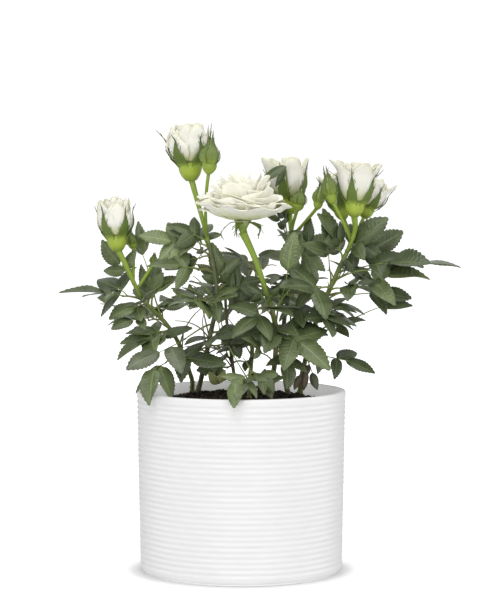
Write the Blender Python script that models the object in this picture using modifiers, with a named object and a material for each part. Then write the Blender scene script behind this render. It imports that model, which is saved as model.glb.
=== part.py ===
"""Potted miniature rose bush with white blooms, in metres, +Z up.

The origin is the centre of the pot's flat underside.  Azimuths ("heading") are counted in
degrees from +X towards +Y, and "lift" is the angle above the horizontal.
"""

import math
import random

import bmesh
import bpy
from mathutils import Matrix, Vector, noise
from mathutils.bvhtree import BVHTree

MM = 0.001
GAP = 0.3 * MM  # clearance between neighbouring pieces
UP = Vector((0, 0, 1))

# pot: a ribbed cylinder that narrows slightly towards its foot
TURN_STEPS = 24
ROUND_STEPS = 3  # straight runs in each rounded edge
POT_HEIGHT = 113 * MM
RIM_RADIUS = 65 * MM
FOOT_RADIUS = 62.8 * MM
WALL = 4 * MM
FLOOR = 5 * MM
FOOT_ROUND = 4.5 * MM
LIP_ROUND = 1 * MM
GROOVES = 31
GROOVE_PITCH = 3.36 * MM
GROOVE_DEPTH = 0.55 * MM
RIM_BAND = 5.4 * MM

# soil: a plug that is mounded in the middle
SOIL_EDGE = 104.5 * MM
SOIL_MOUND = 5.5 * MM
SOIL_FLAT = 0.45  # share of the radius over which the mound is flat
SOIL_LUMPS = 0.8 * MM
LUMP_SIZE = 9 * MM
SOIL_RINGS = (0, 0.2, 0.4, 0.6, 0.75, 0.88)  # shares of the plug's radius
SOIL_LEDGE = 1.5 * MM  # the flat strip along the pot's wall

# crown: no leaf goes past these limits
CROWN_AXIS = Vector((0, 8 * MM, 0))
CROWN_RADIUS = 141 * MM
CROWN_LOW = 98 * MM
CROWN_HIGH = 262 * MM

# canes: route in millimetres (the height of the first point is the soil's), radii at foot and tip
CANE_SIDES = 5
CANE_SPANS = 2  # straight runs between two points of a route
CANE_FLARE = 1.35  # a cane's foot is this much thicker
CANES = {
    "west_cane": ([(-27, 18, 0), (-24, 14, 124), (-19, 8, 148), (-15, 3, 172), (-20, 2, 204)], 1.6, 1.3),
    "left_cane": ([(-31, 28, 0), (-32, 24, 120), (-43, 10, 148), (-63, -3, 171)], 1.5, 1.2),
    "main_cane": ([(18, -8, 0), (21, -12, 134), (21, -15, 153), (18, -18, 167)], 1.6, 1.6),
    "centre_cane": ([(29, 10, 0), (27, 12, 124), (27, 18, 155), (33, 24, 183), (32, 26, 205)], 1.6, 1.2),
    "east_cane": ([(37, 22, 0), (39, 16, 125), (47, 4, 156), (59, -3, 185), (66, -4, 200)], 1.6, 1.4),
    "thin_cane": ([(-3, 12, 0), (-6, 12, 132), (-9, 14, 154), (-10, 16, 169)], 1.2, 0.9),
    "north_cane": ([(5, 30, 0), (7, 38, 135), (9, 52, 165), (10, 66, 190)], 1.5, 1.1),
    "south_cane": ([(5, -25, 0), (5, -30, 117), (6, -37, 124), (7, -44, 128)], 1.1, 0.9),
}

# flower stems: one for each cane that blooms, with the heads that it carries.
# A head is (name, form, stem start as a share of the first stem, base, tip, width), in millimetres.
FLOWER_STEMS = {
    "main_stem": ("main_cane", (9, -23, 194), 1.5, [
        ("main_bloom", "open", 0, (1, -27, 219), (1, -28, 248), 58),
    ]),
    "west_stem": ("west_cane", (-25, 4, 222), 1.2, [
        ("west_bloom", "half", 0, (-32, 8, 254), (-34, 8, 278), 27),
        ("west_bud", "bud", 0.1, (-20, -10, 247), (-18, -10, 271), 11),
    ]),
    "left_stem": ("left_cane", (-71, -5, 190), 1.3, [
        ("left_bloom", "half", 0, (-77, -6, 209), (-79, -6, 233), 23),
        ("left_bud", "bud", 0.3, (-67, 11, 200), (-70, 11, 212), 7),
        ("left_small_bud", "bud", 0.13, (-55, 7, 189), (-54, 7, 198), 4),
    ]),
    "centre_stem": ("centre_cane", (31, 27, 215), 1.2, [
        ("centre_bloom", "half", 0, (30, 27, 232), (29, 28, 257), 25),
        ("centre_bud", "bud", 0.2, (35, 7, 224), (38, 7, 239), 8),
        ("centre_small_bud", "bud", 0.13, (47, 1, 225), (50, 0, 242), 7),
    ]),
    "east_stem": ("east_cane", (70, -7, 212), 1.3, [
        ("east_bloom", "half", 0, (70, -12, 230), (72, -12, 254), 22),
        ("east_back_bloom", "half", 0.15, (62, 10, 226), (57, 12, 248), 18),
        ("east_side_bloom", "half", 0.15, (79, 13, 226), (86, 16, 244), 17),
        ("east_bud", "bud", 0.2, (56, -15, 229), (52, -16, 250), 8.5),
    ]),
}

# foliage: each mass is one side shoot with compound leaves.
# (name, cane, place along it, heading, lift, reach, turn of its second leaf, leaves, leaflets, blade,
# roll of its end leaf)
MASSES = [
    ("far_right", "east_cane", 0.84, 5, 7, 80, -45, 2, 3, 32, -38),
    ("far_left", "left_cane", 0.96, 188, 11, 56, -70, 2, 3, 29, 30),
    ("left_rim", "left_cane", 0.36, 252, -6, 80, 55, 2, 3, 25, 0),
    ("low_left", "left_cane", 0.60, 226, -16, 48, 50, 3, 3, 27, 0),
    ("west_fan", "west_cane", 0.80, 206, 12, 48, -45, 2, 3, 22, 0),
    ("east_big", "east_cane", 0.72, 239, 8, 56, -60, 2, 3, 31, 0),
    ("main_side", "main_cane", 0.78, 313, -24, 52, 50, 3, 3, 27, 0),
    ("centre_face", "centre_cane", 0.80, 272, 34, 48, 80, 2, 3, 24, 0),
    ("right_top", "east_cane", 0.96, 15, 42, 37, -55, 2, 3, 24, 0),
    ("east_foot", "east_cane", 0.28, 325, -7, 52, -70, 2, 3, 21, 0),
    ("heart", "main_cane", 0.97, 236, -16, 44, 60, 2, 3, 25, 0),
    ("west_front", "west_cane", 0.60, 238, 10, 48, 62, 2, 5, 23, 0),
    ("left_high", "left_cane", 0.84, 80, 68, 38, 75, 2, 3, 22, 0),
    ("left_node", "left_cane", 0.90, 224, -5, 32, 40, 2, 3, 20, 0),
    ("right_low", "east_cane", 0.68, 8, 2, 57, -60, 2, 3, 21, 0),
    ("right_face", "east_cane", 0.77, 338, 33, 38, -60, 2, 3, 18, 0),
    ("right_spear", "east_cane", 0.92, 220, 62, 36, 70, 2, 3, 19, 0),
    ("east_down", "east_cane", 0.60, 277, -19, 42, 55, 2, 3, 21, 0),
    ("under_bloom", "thin_cane", 0.96, 246, 60, 42, 70, 2, 5, 19, 0),
    ("west_top", "west_cane", 0.96, 172, 26, 31, -80, 2, 3, 17, 0),
    ("west_low", "west_cane", 0.40, 270, -3, 56, 50, 2, 3, 21, 0),
    ("centre_mid", "centre_cane", 0.64, 279, -11, 55, -50, 2, 3, 18, 0),
    ("south_left", "south_cane", 0.72, 247, 5, 30, 50, 2, 3, 17, 0),
    ("south_right", "south_cane", 0.96, 300, -18, 24, -60, 1, 3, 15, 0),
    ("centre_high", "centre_cane", 0.93, 160, 60, 49, 85, 2, 3, 19, 0),
    ("west_crown", "west_cane", 0.90, 128, 20, 50, -60, 2, 5, 20, 0),
    ("thin_front", "thin_cane", 0.55, 279, -8, 38, 60, 1, 3, 16, 0),
    ("west_inner", "west_cane", 0.30, 320, 8, 40, 60, 2, 3, 19, 0),
    ("thin_side", "thin_cane", 0.35, 200, 5, 36, 70, 2, 3, 19, 0),
    ("centre_low", "centre_cane", 0.36, 285, -4, 46, 60, 2, 3, 20, 0),
    ("left_back", "left_cane", 0.55, 117, 10, 84, 60, 2, 5, 24, 0),
    ("west_back", "west_cane", 0.48, 112, 8, 88, -55, 2, 5, 24, 0),
    ("thin_back", "thin_cane", 0.72, 100, 25, 70, 60, 2, 3, 24, 0),
    ("east_back", "east_cane", 0.52, 74, 6, 86, 50, 2, 5, 25, 0),
    ("right_back", "east_cane", 0.80, 62, 15, 84, -50, 2, 3, 26, 0),
    ("north_high", "north_cane", 0.97, 115, 5, 52, -75, 2, 5, 23, 0),
    ("north_mid", "north_cane", 0.68, 60, 0, 58, 90, 3, 5, 25, 0),
    ("north_low", "north_cane", 0.42, 110, -8, 55, -75, 2, 5, 22, 0),
]

# degrees by which the end leaf's leaflets hang where it spills over the rim
HANG = {"left_rim": 56, "south_right": 50}

# flower heads
HEAD_SIDES = 6
CORE_RINGS = 4
BUD_RINGS = 6
SEPALS = 5
HIP_LENGTH = {"open": 0.15, "half": 0.42, "bud": 0}  # by the head's width, below the petals' foot
HIP_RADIUS = {"open": 0.09, "half": 0.27}
HIP_SEAT = 1.5 * MM  # how far a stem reaches into its head
SIDE_STALK = 0.75  # radius of a side stalk, by its stem's
STALK_UPRIGHT = 0.6  # how much a side stalk turns along its head's axis
BUD_WAIST = 0.3  # share of a bud's length at which it is widest

# petals of the open bloom, from the lowest whorl: how many, reach, top and breadth as shares
BLOOM_WHORLS = (
    (6, 1.0, 0.34, 0.6),
    (6, 0.96, 0.56, 0.6),
    (6, 0.8, 0.78, 0.6),
    (5, 0.54, 0.93, 0.7),
    (3, 0.3, 1.0, 0.9),
)
CUP_PETALS = 5
PETAL_KEEL = 1.3 * MM
SEPAL_KEEL = 0.8 * MM

LEAF_SHARE = 0.75  # of a mass's reach that its end leaf may take
LEAF_STRETCH = 1.9  # longest leaf, in blade lengths
TWIG_SIDES = 3
STEM_RADIUS = 0.75 * MM
STEM_BOW = 0.45  # how far along a stem its curve is steered
SEAT_GAP = 0.35 * MM  # between a stem's foot and its cane
SEAT_STEPS = 6
RACHIS_RADIUS = 0.5 * MM
RACHIS_BOW = 0.55
RACHIS_RISE = 0.2  # how much a leaf's stalk rises before it arches over
SWEEP = 28  # degrees by which shoots and leaves curve sideways, which widens the crown
FACE_MIDDLE = Vector((5, 28, 0)) * MM  # leaves turn their upper sides away from here,
FACE_SPREAD = Vector((0.4, 1, 0))  # more to the front and back than sideways
SINK = 1.2 * MM  # how far an end piece reaches back into what it grows from
PAIR_PLACES = {1: (), 3: (0.62,), 5: (0.42, 0.78)}
BLADE_SECTIONS = ((0.36, 0.27), (0.72, 0.2))  # place along the blade, half width, both by its length
BLADE_THICKNESS = 0.034
STEM_TRIES = ((0, 0), (14, 0), (-14, 0), (0, 14), (0, -12), (26, 6), (-26, 6))
LEAF_TRIES = ((0, 0), (13, 0), (-13, 0), (0, 13), (0, -13), (24, 8), (-24, 8), (0, 28), (36, -8), (-36, -8))
STALK_SHARE = 0.97  # a leaf's length less its stalk's, by its blade
ROOT_TRIM = 0.15  # share of a blade that may lie in its own leaf's stalk
ROOT_CLEAR = 0.8 * MM  # stretch of a stem that is left out of its clearance test
BLADE_TRIES = tuple((pitch, size) for size in (1, 0.8) for pitch in (0, 14, -14, 28, -28))

COLOURS = {
    "pot": ((0.86, 0.86, 0.85), 0.45),
    "soil": ((0.012, 0.009, 0.007), 0.95),
    "cane": ((0.09, 0.11, 0.035), 0.6),
    "green": ((0.19, 0.29, 0.04), 0.5),
    "petal": ((0.84, 0.83, 0.72), 0.6),
    "leaf": ((0.05, 0.085, 0.035), 0.45),
}


# ---------------------------------------------------------------- scene and materials


def clear_scene():
    for item in list(bpy.data.objects):
        bpy.data.objects.remove(item, do_unlink=True)


def add_collection(name):
    collection = bpy.data.collections.new(name)
    bpy.context.scene.collection.children.link(collection)
    return collection


def make_material(name, kind):
    colour, roughness = COLOURS[kind]
    material = bpy.data.materials.new(name)
    material.use_nodes = True
    shader = material.node_tree.nodes["Principled BSDF"]
    shader.inputs["Base Color"].default_value = (*colour, 1)
    shader.inputs["Roughness"].default_value = roughness
    shader.inputs["Metallic"].default_value = 0
    return material


def finish_object(name, mesh, kind, collection):
    """The finished sub-part as an object with a material of its own."""
    mesh.materials.clear()
    mesh.materials.append(make_material(name, kind))
    item = bpy.data.objects.new(name, mesh)
    collection.objects.link(item)
    return item


# ---------------------------------------------------------------- paths and simple solids


def mm(point):
    return Vector(point) * MM


def heading_vector(heading, lift):
    turn = math.radians(heading)
    rise = math.radians(lift)
    return Vector((math.cos(rise) * math.cos(turn), math.cos(rise) * math.sin(turn), math.sin(rise)))


def smooth_path(points, spans):
    """Points of a Catmull-Rom curve through the given points, with so many spans between two of them."""
    ends = [points[0] * 2 - points[1], *points, points[-1] * 2 - points[-2]]
    path = []
    for a, b, c, d in zip(ends, ends[1:], ends[2:], ends[3:]):
        for step in range(spans):
            t = step / spans
            path.append(0.5 * (2 * b + (c - a) * t + (2 * a - 5 * b + 4 * c - d) * t**2
                               + (3 * b - a - 3 * c + d) * t**3))
    return path + [points[-1]]


def swept_way(heading, lift):
    """The direction in which a sideways curve towards a heading sets out."""
    return heading_vector(heading + SWEEP * math.sin(2 * math.radians(heading)), lift)


def bent_path(start, middle, end, spans):
    """Points of a quadratic Bezier curve."""
    steps = [step / spans for step in range(spans + 1)]
    return [start * (1 - t) ** 2 + middle * (2 * t * (1 - t)) + end * t**2 for t in steps]


def along_path(path, share):
    """The point and the direction at a share of a path's length."""
    lengths = [(b - a).length for a, b in zip(path, path[1:])]
    left = share * sum(lengths)
    for a, b, length in zip(path, path[1:], lengths):
        if left <= length + 1e-9:
            return a.lerp(b, left / length), (b - a).normalized()
        left -= length
    return path[-1].copy(), (path[-1] - path[-2]).normalized()


def trimmed_path(path, cut):
    """A path without its first stretch of the given length."""
    total = sum((b - a).length for a, b in zip(path, path[1:]))
    share = cut / total
    start, _ = along_path(path, share)
    lengths = [(b - a).length for a, b in zip(path, path[1:])]
    kept = [point for index, point in enumerate(path) if sum(lengths[:index]) > cut + 0.2 * MM]
    return [start, *kept]


def tube(path, radii, sides):
    """A mesh of a tube along a path, made from a curve with filled caps."""
    curve = bpy.data.curves.new("tube", "CURVE")
    curve.dimensions = "3D"
    spline = curve.splines.new("POLY")
    spline.points.add(len(path) - 1)
    for point, place, radius in zip(spline.points, path, radii):
        point.co = (*place, 1)
        point.radius = radius
    curve.bevel_mode = "OBJECT"
    curve.bevel_object = tube_section(sides)
    curve.use_fill_caps = True
    item = bpy.data.objects.new("tube", curve)
    GUIDES.objects.link(item)
    evaluated = item.evaluated_get(bpy.context.evaluated_depsgraph_get())
    mesh = bpy.data.meshes.new_from_object(evaluated)
    bpy.data.objects.remove(item, do_unlink=True)
    bpy.data.curves.remove(curve)
    shape = bmesh.new()
    shape.from_mesh(mesh)
    bmesh.ops.remove_doubles(shape, verts=shape.verts, dist=0.001 * MM)
    return close_mesh(shape, mesh)


def tube_section(sides):
    """The guide that a tube's cross-section follows: a regular polygon of radius one."""
    name = f"section_{sides}"
    if name in bpy.data.objects:
        return bpy.data.objects[name]
    curve = bpy.data.curves.new(name, "CURVE")
    spline = curve.splines.new("POLY")
    spline.points.add(sides - 1)
    for index, point in enumerate(spline.points):
        angle = 2 * math.pi * index / sides
        point.co = (math.cos(angle), math.sin(angle), 0, 1)
    spline.use_cyclic_u = True
    guide = bpy.data.objects.new(name, curve)
    guide.hide_render = True
    guide.display_type = "WIRE"
    GUIDES.objects.link(guide)
    return guide


def close_mesh(shape, mesh=None):
    """Finish a bmesh: outward triangles in a mesh."""
    mesh = mesh or bpy.data.meshes.new("solid")
    bmesh.ops.triangulate(shape, faces=shape.faces)
    bmesh.ops.recalc_face_normals(shape, faces=shape.faces)
    shape.to_mesh(mesh)
    shape.free()
    return mesh


def loft(rings):
    """A closed mesh through rings of points; a ring of one point is a tip."""
    shape = bmesh.new()
    loops = [[shape.verts.new(point) for point in ring] for ring in rings]
    for near, far in zip(loops, loops[1:]):
        count = max(len(near), len(far))
        for index in range(count):
            after = (index + 1) % count
            corners = [near[index % len(near)], near[after % len(near)],
                       far[after % len(far)], far[index % len(far)]]
            shape.faces.new(list(dict.fromkeys(corners)))
    for loop in (loops[0], loops[-1]):
        if len(loop) > 2:
            shape.faces.new(loop)
    return close_mesh(shape)


def egg(length, radius_at, rings):
    """A turned solid about +Z from 0 to its length; radius_at gives the radius at a share of it."""
    shape = bmesh.new()
    bmesh.ops.create_uvsphere(shape, u_segments=HEAD_SIDES, v_segments=rings, radius=1)
    for vert in shape.verts:
        share = (vert.co.z + 1) / 2
        ring = math.hypot(vert.co.x, vert.co.y)
        scale = radius_at(share) / ring if ring > 1e-6 else 0
        vert.co = Vector((vert.co.x * scale, vert.co.y * scale, share * length))
    return close_mesh(shape)


def placed(mesh, base, direction):
    """Turn a mesh's +Z towards a direction and move its origin to base."""
    turn = UP.rotation_difference(direction).to_matrix().to_4x4()
    mesh.transform(Matrix.Translation(base) @ turn)
    return mesh


def turned(name, profile, kind, collection):
    """A profile in the XZ plane, turned about Z by a Screw modifier."""
    mesh = bpy.data.meshes.new(name)
    edges = [(index, index + 1) for index in range(len(profile) - 1)]
    mesh.from_pydata([(x, 0, z) for x, z in profile], edges, [])
    item = finish_object(name, mesh, kind, collection)
    screw = item.modifiers.new("turn", "SCREW")
    screw.steps = TURN_STEPS
    screw.render_steps = TURN_STEPS
    screw.use_merge_vertices = True
    screw.merge_threshold = 0.01 * MM
    screw.use_smooth_shade = True
    return item


# ---------------------------------------------------------------- joining and clearance


def is_closed(shape):
    return all(len(edge.link_faces) == 2 for edge in shape.edges)


def biggest_body(shape):
    """Drop all but the largest connected body: loose scraps and the walls of sealed hollows."""
    left = set(shape.faces)
    bodies = []
    while left:
        body = {left.pop()}
        front = list(body)
        while front:
            face = front.pop()
            near = {other for edge in face.edges for other in edge.link_faces} & left
            left -= near
            body |= near
            front.extend(near)
        bodies.append(body)
    bodies.sort(key=len, reverse=True)
    for body in bodies[1:]:
        bmesh.ops.delete(shape, geom=list(body), context="FACES")


def fuse(meshes):
    """One Boolean union on a collection; returns one closed mesh."""
    batch = bpy.data.collections.new("batch")
    GUIDES.children.link(batch)
    pieces = [bpy.data.objects.new("piece", mesh) for mesh in meshes]
    GUIDES.objects.link(pieces[0])
    for piece in pieces[1:]:
        batch.objects.link(piece)
    union = pieces[0].modifiers.new("union", "BOOLEAN")
    union.operation = "UNION"
    union.operand_type = "COLLECTION"
    union.collection = batch
    for solver in ("EXACT", "MANIFOLD"):
        union.solver = solver
        evaluated = pieces[0].evaluated_get(bpy.context.evaluated_depsgraph_get())
        shape = bmesh.new()
        shape.from_mesh(bpy.data.meshes.new_from_object(evaluated))
        bmesh.ops.triangulate(shape, faces=shape.faces)
        biggest_body(shape)
        if is_closed(shape):
            break
    for piece in pieces:
        bpy.data.objects.remove(piece, do_unlink=True)
    bpy.data.collections.remove(batch)
    merge_flat_faces(shape)
    return close_mesh(shape)


def merge_flat_faces(shape):
    """Undo the splits that a union leaves in flat faces and along straight edges."""
    bmesh.ops.dissolve_limit(shape, angle_limit=math.radians(0.3), verts=shape.verts, edges=shape.edges)
    bmesh.ops.triangulate(shape, faces=shape.faces)


def tree_of(mesh):
    mesh.calc_loop_triangles()
    points = [vert.co for vert in mesh.vertices]
    return BVHTree.FromPolygons(points, [tuple(face.vertices) for face in mesh.loop_triangles])


def touches(mesh, trees):
    own = tree_of(mesh)
    return any(own.overlap(tree) for tree in trees)


# ---------------------------------------------------------------- pot and soil


def outer_radius(z):
    return FOOT_RADIUS + (RIM_RADIUS - FOOT_RADIUS) * z / POT_HEIGHT


def inner_radius(z):
    return outer_radius(z) - WALL


def arc(centre, radius, start, end):
    """Points of an arc in a profile, angles in degrees."""
    sweep = end - start
    angles = [math.radians(start + sweep * step / ROUND_STEPS) for step in range(ROUND_STEPS + 1)]
    return [(centre[0] + radius * math.cos(a), centre[1] + radius * math.sin(a)) for a in angles]


def pot_profile():
    """From the middle of the inner floor, up inside, over the lip and down the ribbed outside."""
    points = [(0, FLOOR), (inner_radius(FLOOR), FLOOR)]
    lip = POT_HEIGHT - LIP_ROUND
    points += arc((inner_radius(POT_HEIGHT) + LIP_ROUND, lip), LIP_ROUND, 180, 90)
    points += arc((RIM_RADIUS - LIP_ROUND, lip), LIP_ROUND, 90, 0)
    first = POT_HEIGHT - RIM_BAND
    points.append((outer_radius(first + GROOVE_PITCH / 2), first + GROOVE_PITCH / 2))
    for groove in range(GROOVES):
        z = first - groove * GROOVE_PITCH
        points.append((outer_radius(z) - GROOVE_DEPTH, z))
        z -= GROOVE_PITCH / 2
        points.append((outer_radius(z), z))
    points += arc((outer_radius(0) - FOOT_ROUND, FOOT_ROUND), FOOT_ROUND, 0, -90)
    points.append((0, 0))
    return points


def soil_height(x, y):
    """Height of the soil's surface: a low mound with small lumps."""
    share = math.hypot(x, y) / inner_radius(SOIL_EDGE)
    fall = max(0, (share - SOIL_FLAT) / (1 - SOIL_FLAT))
    fall = min(1, fall)
    mound = 1 - fall * fall * (3 - 2 * fall)
    lumps = noise.noise(Vector((x, y, 0)) / LUMP_SIZE) * (1 - fall)
    return SOIL_EDGE + SOIL_MOUND * mound + SOIL_LUMPS * lumps


def soil_profile():
    """The plug's side and the rings of its top, before the lumps are raised."""
    base = FLOOR + GAP
    edge = inner_radius(SOIL_EDGE) - GAP
    top = [(edge * share, SOIL_EDGE) for share in SOIL_RINGS]
    return top + [(edge, SOIL_EDGE), (inner_radius(base) - GAP, base), (0, base)]


def make_soil(collection):
    """The turned plug, with its top raised to the soil's surface."""
    item = turned("soil", soil_profile(), "soil", collection)
    evaluated = item.evaluated_get(bpy.context.evaluated_depsgraph_get())
    shape = bmesh.new()
    shape.from_mesh(bpy.data.meshes.new_from_object(evaluated))
    rim = inner_radius(SOIL_EDGE) - SOIL_LEDGE
    for vert in shape.verts:
        if vert.co.z > SOIL_EDGE - MM and math.hypot(vert.co.x, vert.co.y) < rim:
            vert.co.z = soil_height(vert.co.x, vert.co.y)
    item.modifiers.clear()
    close_mesh(shape, item.data)
    return item


# ---------------------------------------------------------------- canes


def cane_path(route, foot_radius, soil_tree):
    """The cane's axis, with its foot, cut square to it, set just clear of the soil under it."""
    foot = mm(route[0])
    above = Vector((foot.x, foot.y, POT_HEIGHT))
    foot.z = SOIL_EDGE + SOIL_MOUND
    aim = mm(route[1]) - foot
    heights = []
    for index in range(8):
        edge = heading_vector(45 * index, 0) * foot_radius * CANE_FLARE * 1.1
        ground = soil_tree.ray_cast(above + edge, -UP)[0].z
        heights.append(ground + edge.dot(aim) / aim.z)
    foot.z = max(heights) + GAP
    return smooth_path([foot, *(mm(point) for point in route[1:])], CANE_SPANS)


def cane_radii(path, foot, tip):
    """Radii that taper from foot to tip, with a slight flare at the foot."""
    last = len(path) - 1
    radii = [foot + (tip - foot) * index / last for index in range(last + 1)]
    radii[0] *= CANE_FLARE
    return radii


# ---------------------------------------------------------------- flowers


def ring_point(radius, angle, z):
    return Vector((radius * math.cos(angle), radius * math.sin(angle), z))


def flower_blade(turn, line, widths, keel):
    """A petal or sepal: line is its middle as (radius, height) from root to tip, with a half width
    for each point between them.  It is flat inside, and its keel stands out on the outer side."""
    rings = [[ring_point(line[0][0], turn, line[0][1])]]
    for before, (radius, z), after, width in zip(line, line[1:], line[2:], widths):
        slope = Vector((after[0] - before[0], after[1] - before[1])).normalized()
        angle = math.atan2(width, radius)
        edge = radius / math.cos(angle)
        rings.append([ring_point(edge, turn - angle, z), ring_point(edge, turn + angle, z),
                      ring_point(radius + slope.y * keel, turn, z - slope.x * keel)])
    rings.append([ring_point(line[-1][0], turn, line[-1][1])])
    return loft(rings)


def open_bloom(height, width):
    """A wide flattened bloom: whorls of petals that stand steeper towards the middle."""
    half = width / 2

    def core_radius(share):
        return 0.2 * half * math.sin(math.pi * max(share, 0.02)) ** 0.5

    meshes = [egg(height * 0.8, core_radius, CORE_RINGS)]
    for number, (count, reach, top, breadth) in enumerate(BLOOM_WHORLS):
        low = (0.05 + 0.08 * number) * height
        reach *= half
        top *= height
        line = [(0.1 * half, low), (0.52 * reach, low + 0.12 * (top - low)),
                (0.88 * reach, low + 0.68 * (top - low)), (reach, top)]
        for index in range(count):
            turn = 2 * math.pi * (index + 0.5 * number) / count + 0.3 * number
            widths = [0.46 * breadth * reach, 0.8 * breadth * reach]
            meshes.append(flower_blade(turn, line, widths, PETAL_KEEL))
    return fuse(meshes)


def cup_radius(share, width):
    """Outer radius of a half-open flower at a share of its height."""
    swell = math.sin(math.pi * min(1, 0.12 + 0.62 * share)) ** 0.7
    return width / 2 * (0.94 * swell + 0.12 * share**3)


def half_bloom(height, width):
    """A flower that is opening: upright petals wrapped round a closed middle."""
    def core_radius(share):
        return 0.72 * cup_radius(min(share, 0.6), width) * (1 - share**4) ** 0.5

    meshes = [squared(egg(height * 0.95, core_radius, CORE_RINGS), height * 0.95, 0.1, 0)]
    for index in range(CUP_PETALS):
        turn = 2 * math.pi * index / CUP_PETALS
        top = height * (1 - 0.035 * (index % 3))
        line = [(0.8 * cup_radius(0, width), 0.02 * top)]
        line += [(0.8 * cup_radius(share, width), share * top) for share in (0.25, 0.86)]
        line.append((0.94 * cup_radius(1, width), top))
        meshes.append(flower_blade(turn, line, [0.24 * width, 0.2 * width], 0.1 * width))
    return fuse(meshes)


def half_calyx(height, width, seed):
    """Five sepals that clasp a half-open flower, their tips bent outwards."""
    spread = random.Random(seed)
    meshes = []
    for index in range(SEPALS):
        turn = 2 * math.pi * (index + 0.5) / SEPALS
        top = 0.62 + 0.25 * spread.random()
        line = [(0.1 * width, -2 * MM)]
        line += [(cup_radius(share, width) + 0.6 * MM, share * height) for share in (0.18, 0.5)]
        line.append((cup_radius(top, width) + (1.8 + 3 * spread.random()) * MM, top * height))
        meshes.append(flower_blade(turn, line, [0.14 * width, 0.09 * width], SEPAL_KEEL))
    return meshes


def open_calyx(width, seed):
    """Five sepals under a wide open bloom, bent down and outwards."""
    spread = random.Random(seed)
    meshes = []
    for index in range(SEPALS):
        turn = 2 * math.pi * (index + 0.5) / SEPALS
        drop = (2 + 5 * spread.random()) * MM
        line = [(0.03 * width, -1.6 * MM), (0.12 * width, -1.4 * MM),
                (0.2 * width, -2 * MM - 0.5 * drop), (0.24 * width, -3 * MM - drop)]
        meshes.append(flower_blade(turn, line, [2.4 * MM, 1.8 * MM], SEPAL_KEEL))
    return meshes


def hip(length, radius):
    """The swollen base of a flower, below its petals, with its broad top at the origin."""
    def radius_at(share):
        return radius * min(1, 0.3 + 1.5 * share) * (1 - share**6) ** 0.5

    mesh = squared(egg(length, radius_at, CORE_RINGS), length, 0, 0.12)
    mesh.transform(Matrix.Translation((0, 0, -length)))
    return mesh


def squared(mesh, length, low, high):
    """Stretch a mesh past its two ends by these shares of its length and flatten it there."""
    for vert in mesh.vertices:
        stretched = vert.co.z * (1 + low + high) - low * length
        vert.co.z = min(length, max(0, stretched))
    return mesh


def bud(length, radius):
    """A closed bud in its sepals: round below, drawn out to a point."""
    def radius_at(share):
        if share < BUD_WAIST:
            return radius * math.sin(0.5 * math.pi * share / BUD_WAIST) ** 0.6
        return radius * max(0.06, (1 - share) / (1 - BUD_WAIST)) ** 0.75

    return egg(length, radius_at, BUD_RINGS)


def head_parts(name, form, length, width):
    """The green meshes of a flower head and its petals, both about +Z with the petals' foot at 0."""
    if form == "bud":
        return [bud(length, width / 2)], None
    base = hip(HIP_LENGTH[form] * width, HIP_RADIUS[form] * width)
    if form == "open":
        return [base, *open_calyx(width, name)], open_bloom(length, width)
    return [base, *half_calyx(length, width, name)], half_bloom(length, width)


def grow_flowers(cane_tips, collection, trees):
    """Flower stems with their hips, sepals and buds, and the petals as nodes of their own."""
    for stem_name, (cane, bend, radius, heads) in FLOWER_STEMS.items():
        tip, along = cane_tips[cane]
        green = []
        first_path = None
        for name, form, share, base, top, width in heads:
            base = mm(base)
            axis = (mm(top) - base).normalized()
            length = (mm(top) - base).length
            parts, petals = head_parts(name, form, length, width * MM)
            seat = base - axis * (HIP_LENGTH[form] * width * MM - HIP_SEAT)
            if first_path is None:
                slant = along.cross((mm(bend) - tip).normalized()).length
                start = tip + along * (GAP + slant * radius * MM)
                first_path = smooth_path([start, mm(bend), seat], CANE_SPANS)
                path = first_path
                radii = [radius * MM] * len(path)
            else:
                start, direction = along_path(first_path, share)
                reach = (seat - start).length
                outward = start + direction * 0.45 * reach
                upright = seat - axis * 0.5 * reach
                path = bent_path(start, outward.lerp(upright, STALK_UPRIGHT), seat, 3)
                radii = [SIDE_STALK * radius * MM] * len(path)
            green.append(tube(path, radii, CANE_SIDES))
            green.extend(placed(part, base, axis) for part in parts)
            if petals:
                petals = placed(petals, base + axis * GAP * 1.5, axis)
                finish_object(name, petals, "petal", collection)
                trees.append(tree_of(petals))
        stem = fuse(green)
        finish_object(stem_name, stem, "green", collection)
        trees.append(tree_of(stem))


# ---------------------------------------------------------------- foliage


def plan_mass(name, turn, leaves, leaflets, blade, roll, reach):
    """All seeded choices of one mass: its leaves, and the leaflets of each."""
    chance = random.Random(name)
    length = min(LEAF_SHARE * reach, LEAF_STRETCH * blade)
    plan = []
    for index in range(leaves):
        size = 1 if index == 0 else chance.uniform(0.74, 0.92)
        side = 0 if index == 0 else (1 if index == 1 else -1)
        leaf = {
            "place": 1 - 0.36 * index,
            "turn": side * turn * chance.uniform(0.9, 1.1),
            "rise": 0 if index == 0 else chance.uniform(-6, 24),
            "length": length * size * MM,
            "blade": blade * size * MM,
            "roll": roll if index == 0 else chance.uniform(-20, 20),
            "leaflets": [plan_leaflet(chance, 1, 0, 1)],
        }
        places = PAIR_PLACES[leaflets if index == 0 else min(leaflets, 3 + 2 * chance.randrange(2))]
        for number, place in enumerate(reversed(places)):
            for hand in (-1, 1):
                leaf["leaflets"].append(plan_leaflet(chance, place, hand, 0.86 - 0.14 * number))
        plan.append(leaf)
    return plan, (reach * MM - length * MM)


def plan_leaflet(chance, place, hand, size):
    """One leaflet: where it sits on the leaf's stalk and how it is turned."""
    return {
        "place": place,
        "hand": hand,
        "angle": hand * chance.uniform(54, 70),
        "size": size * chance.uniform(0.92, 1.06),
        "roll": chance.uniform(-12, 12) + 8 * hand,
        "droop": chance.uniform(0.04, 0.16),
        "pitch": chance.uniform(-12, 6),
    }


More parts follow.
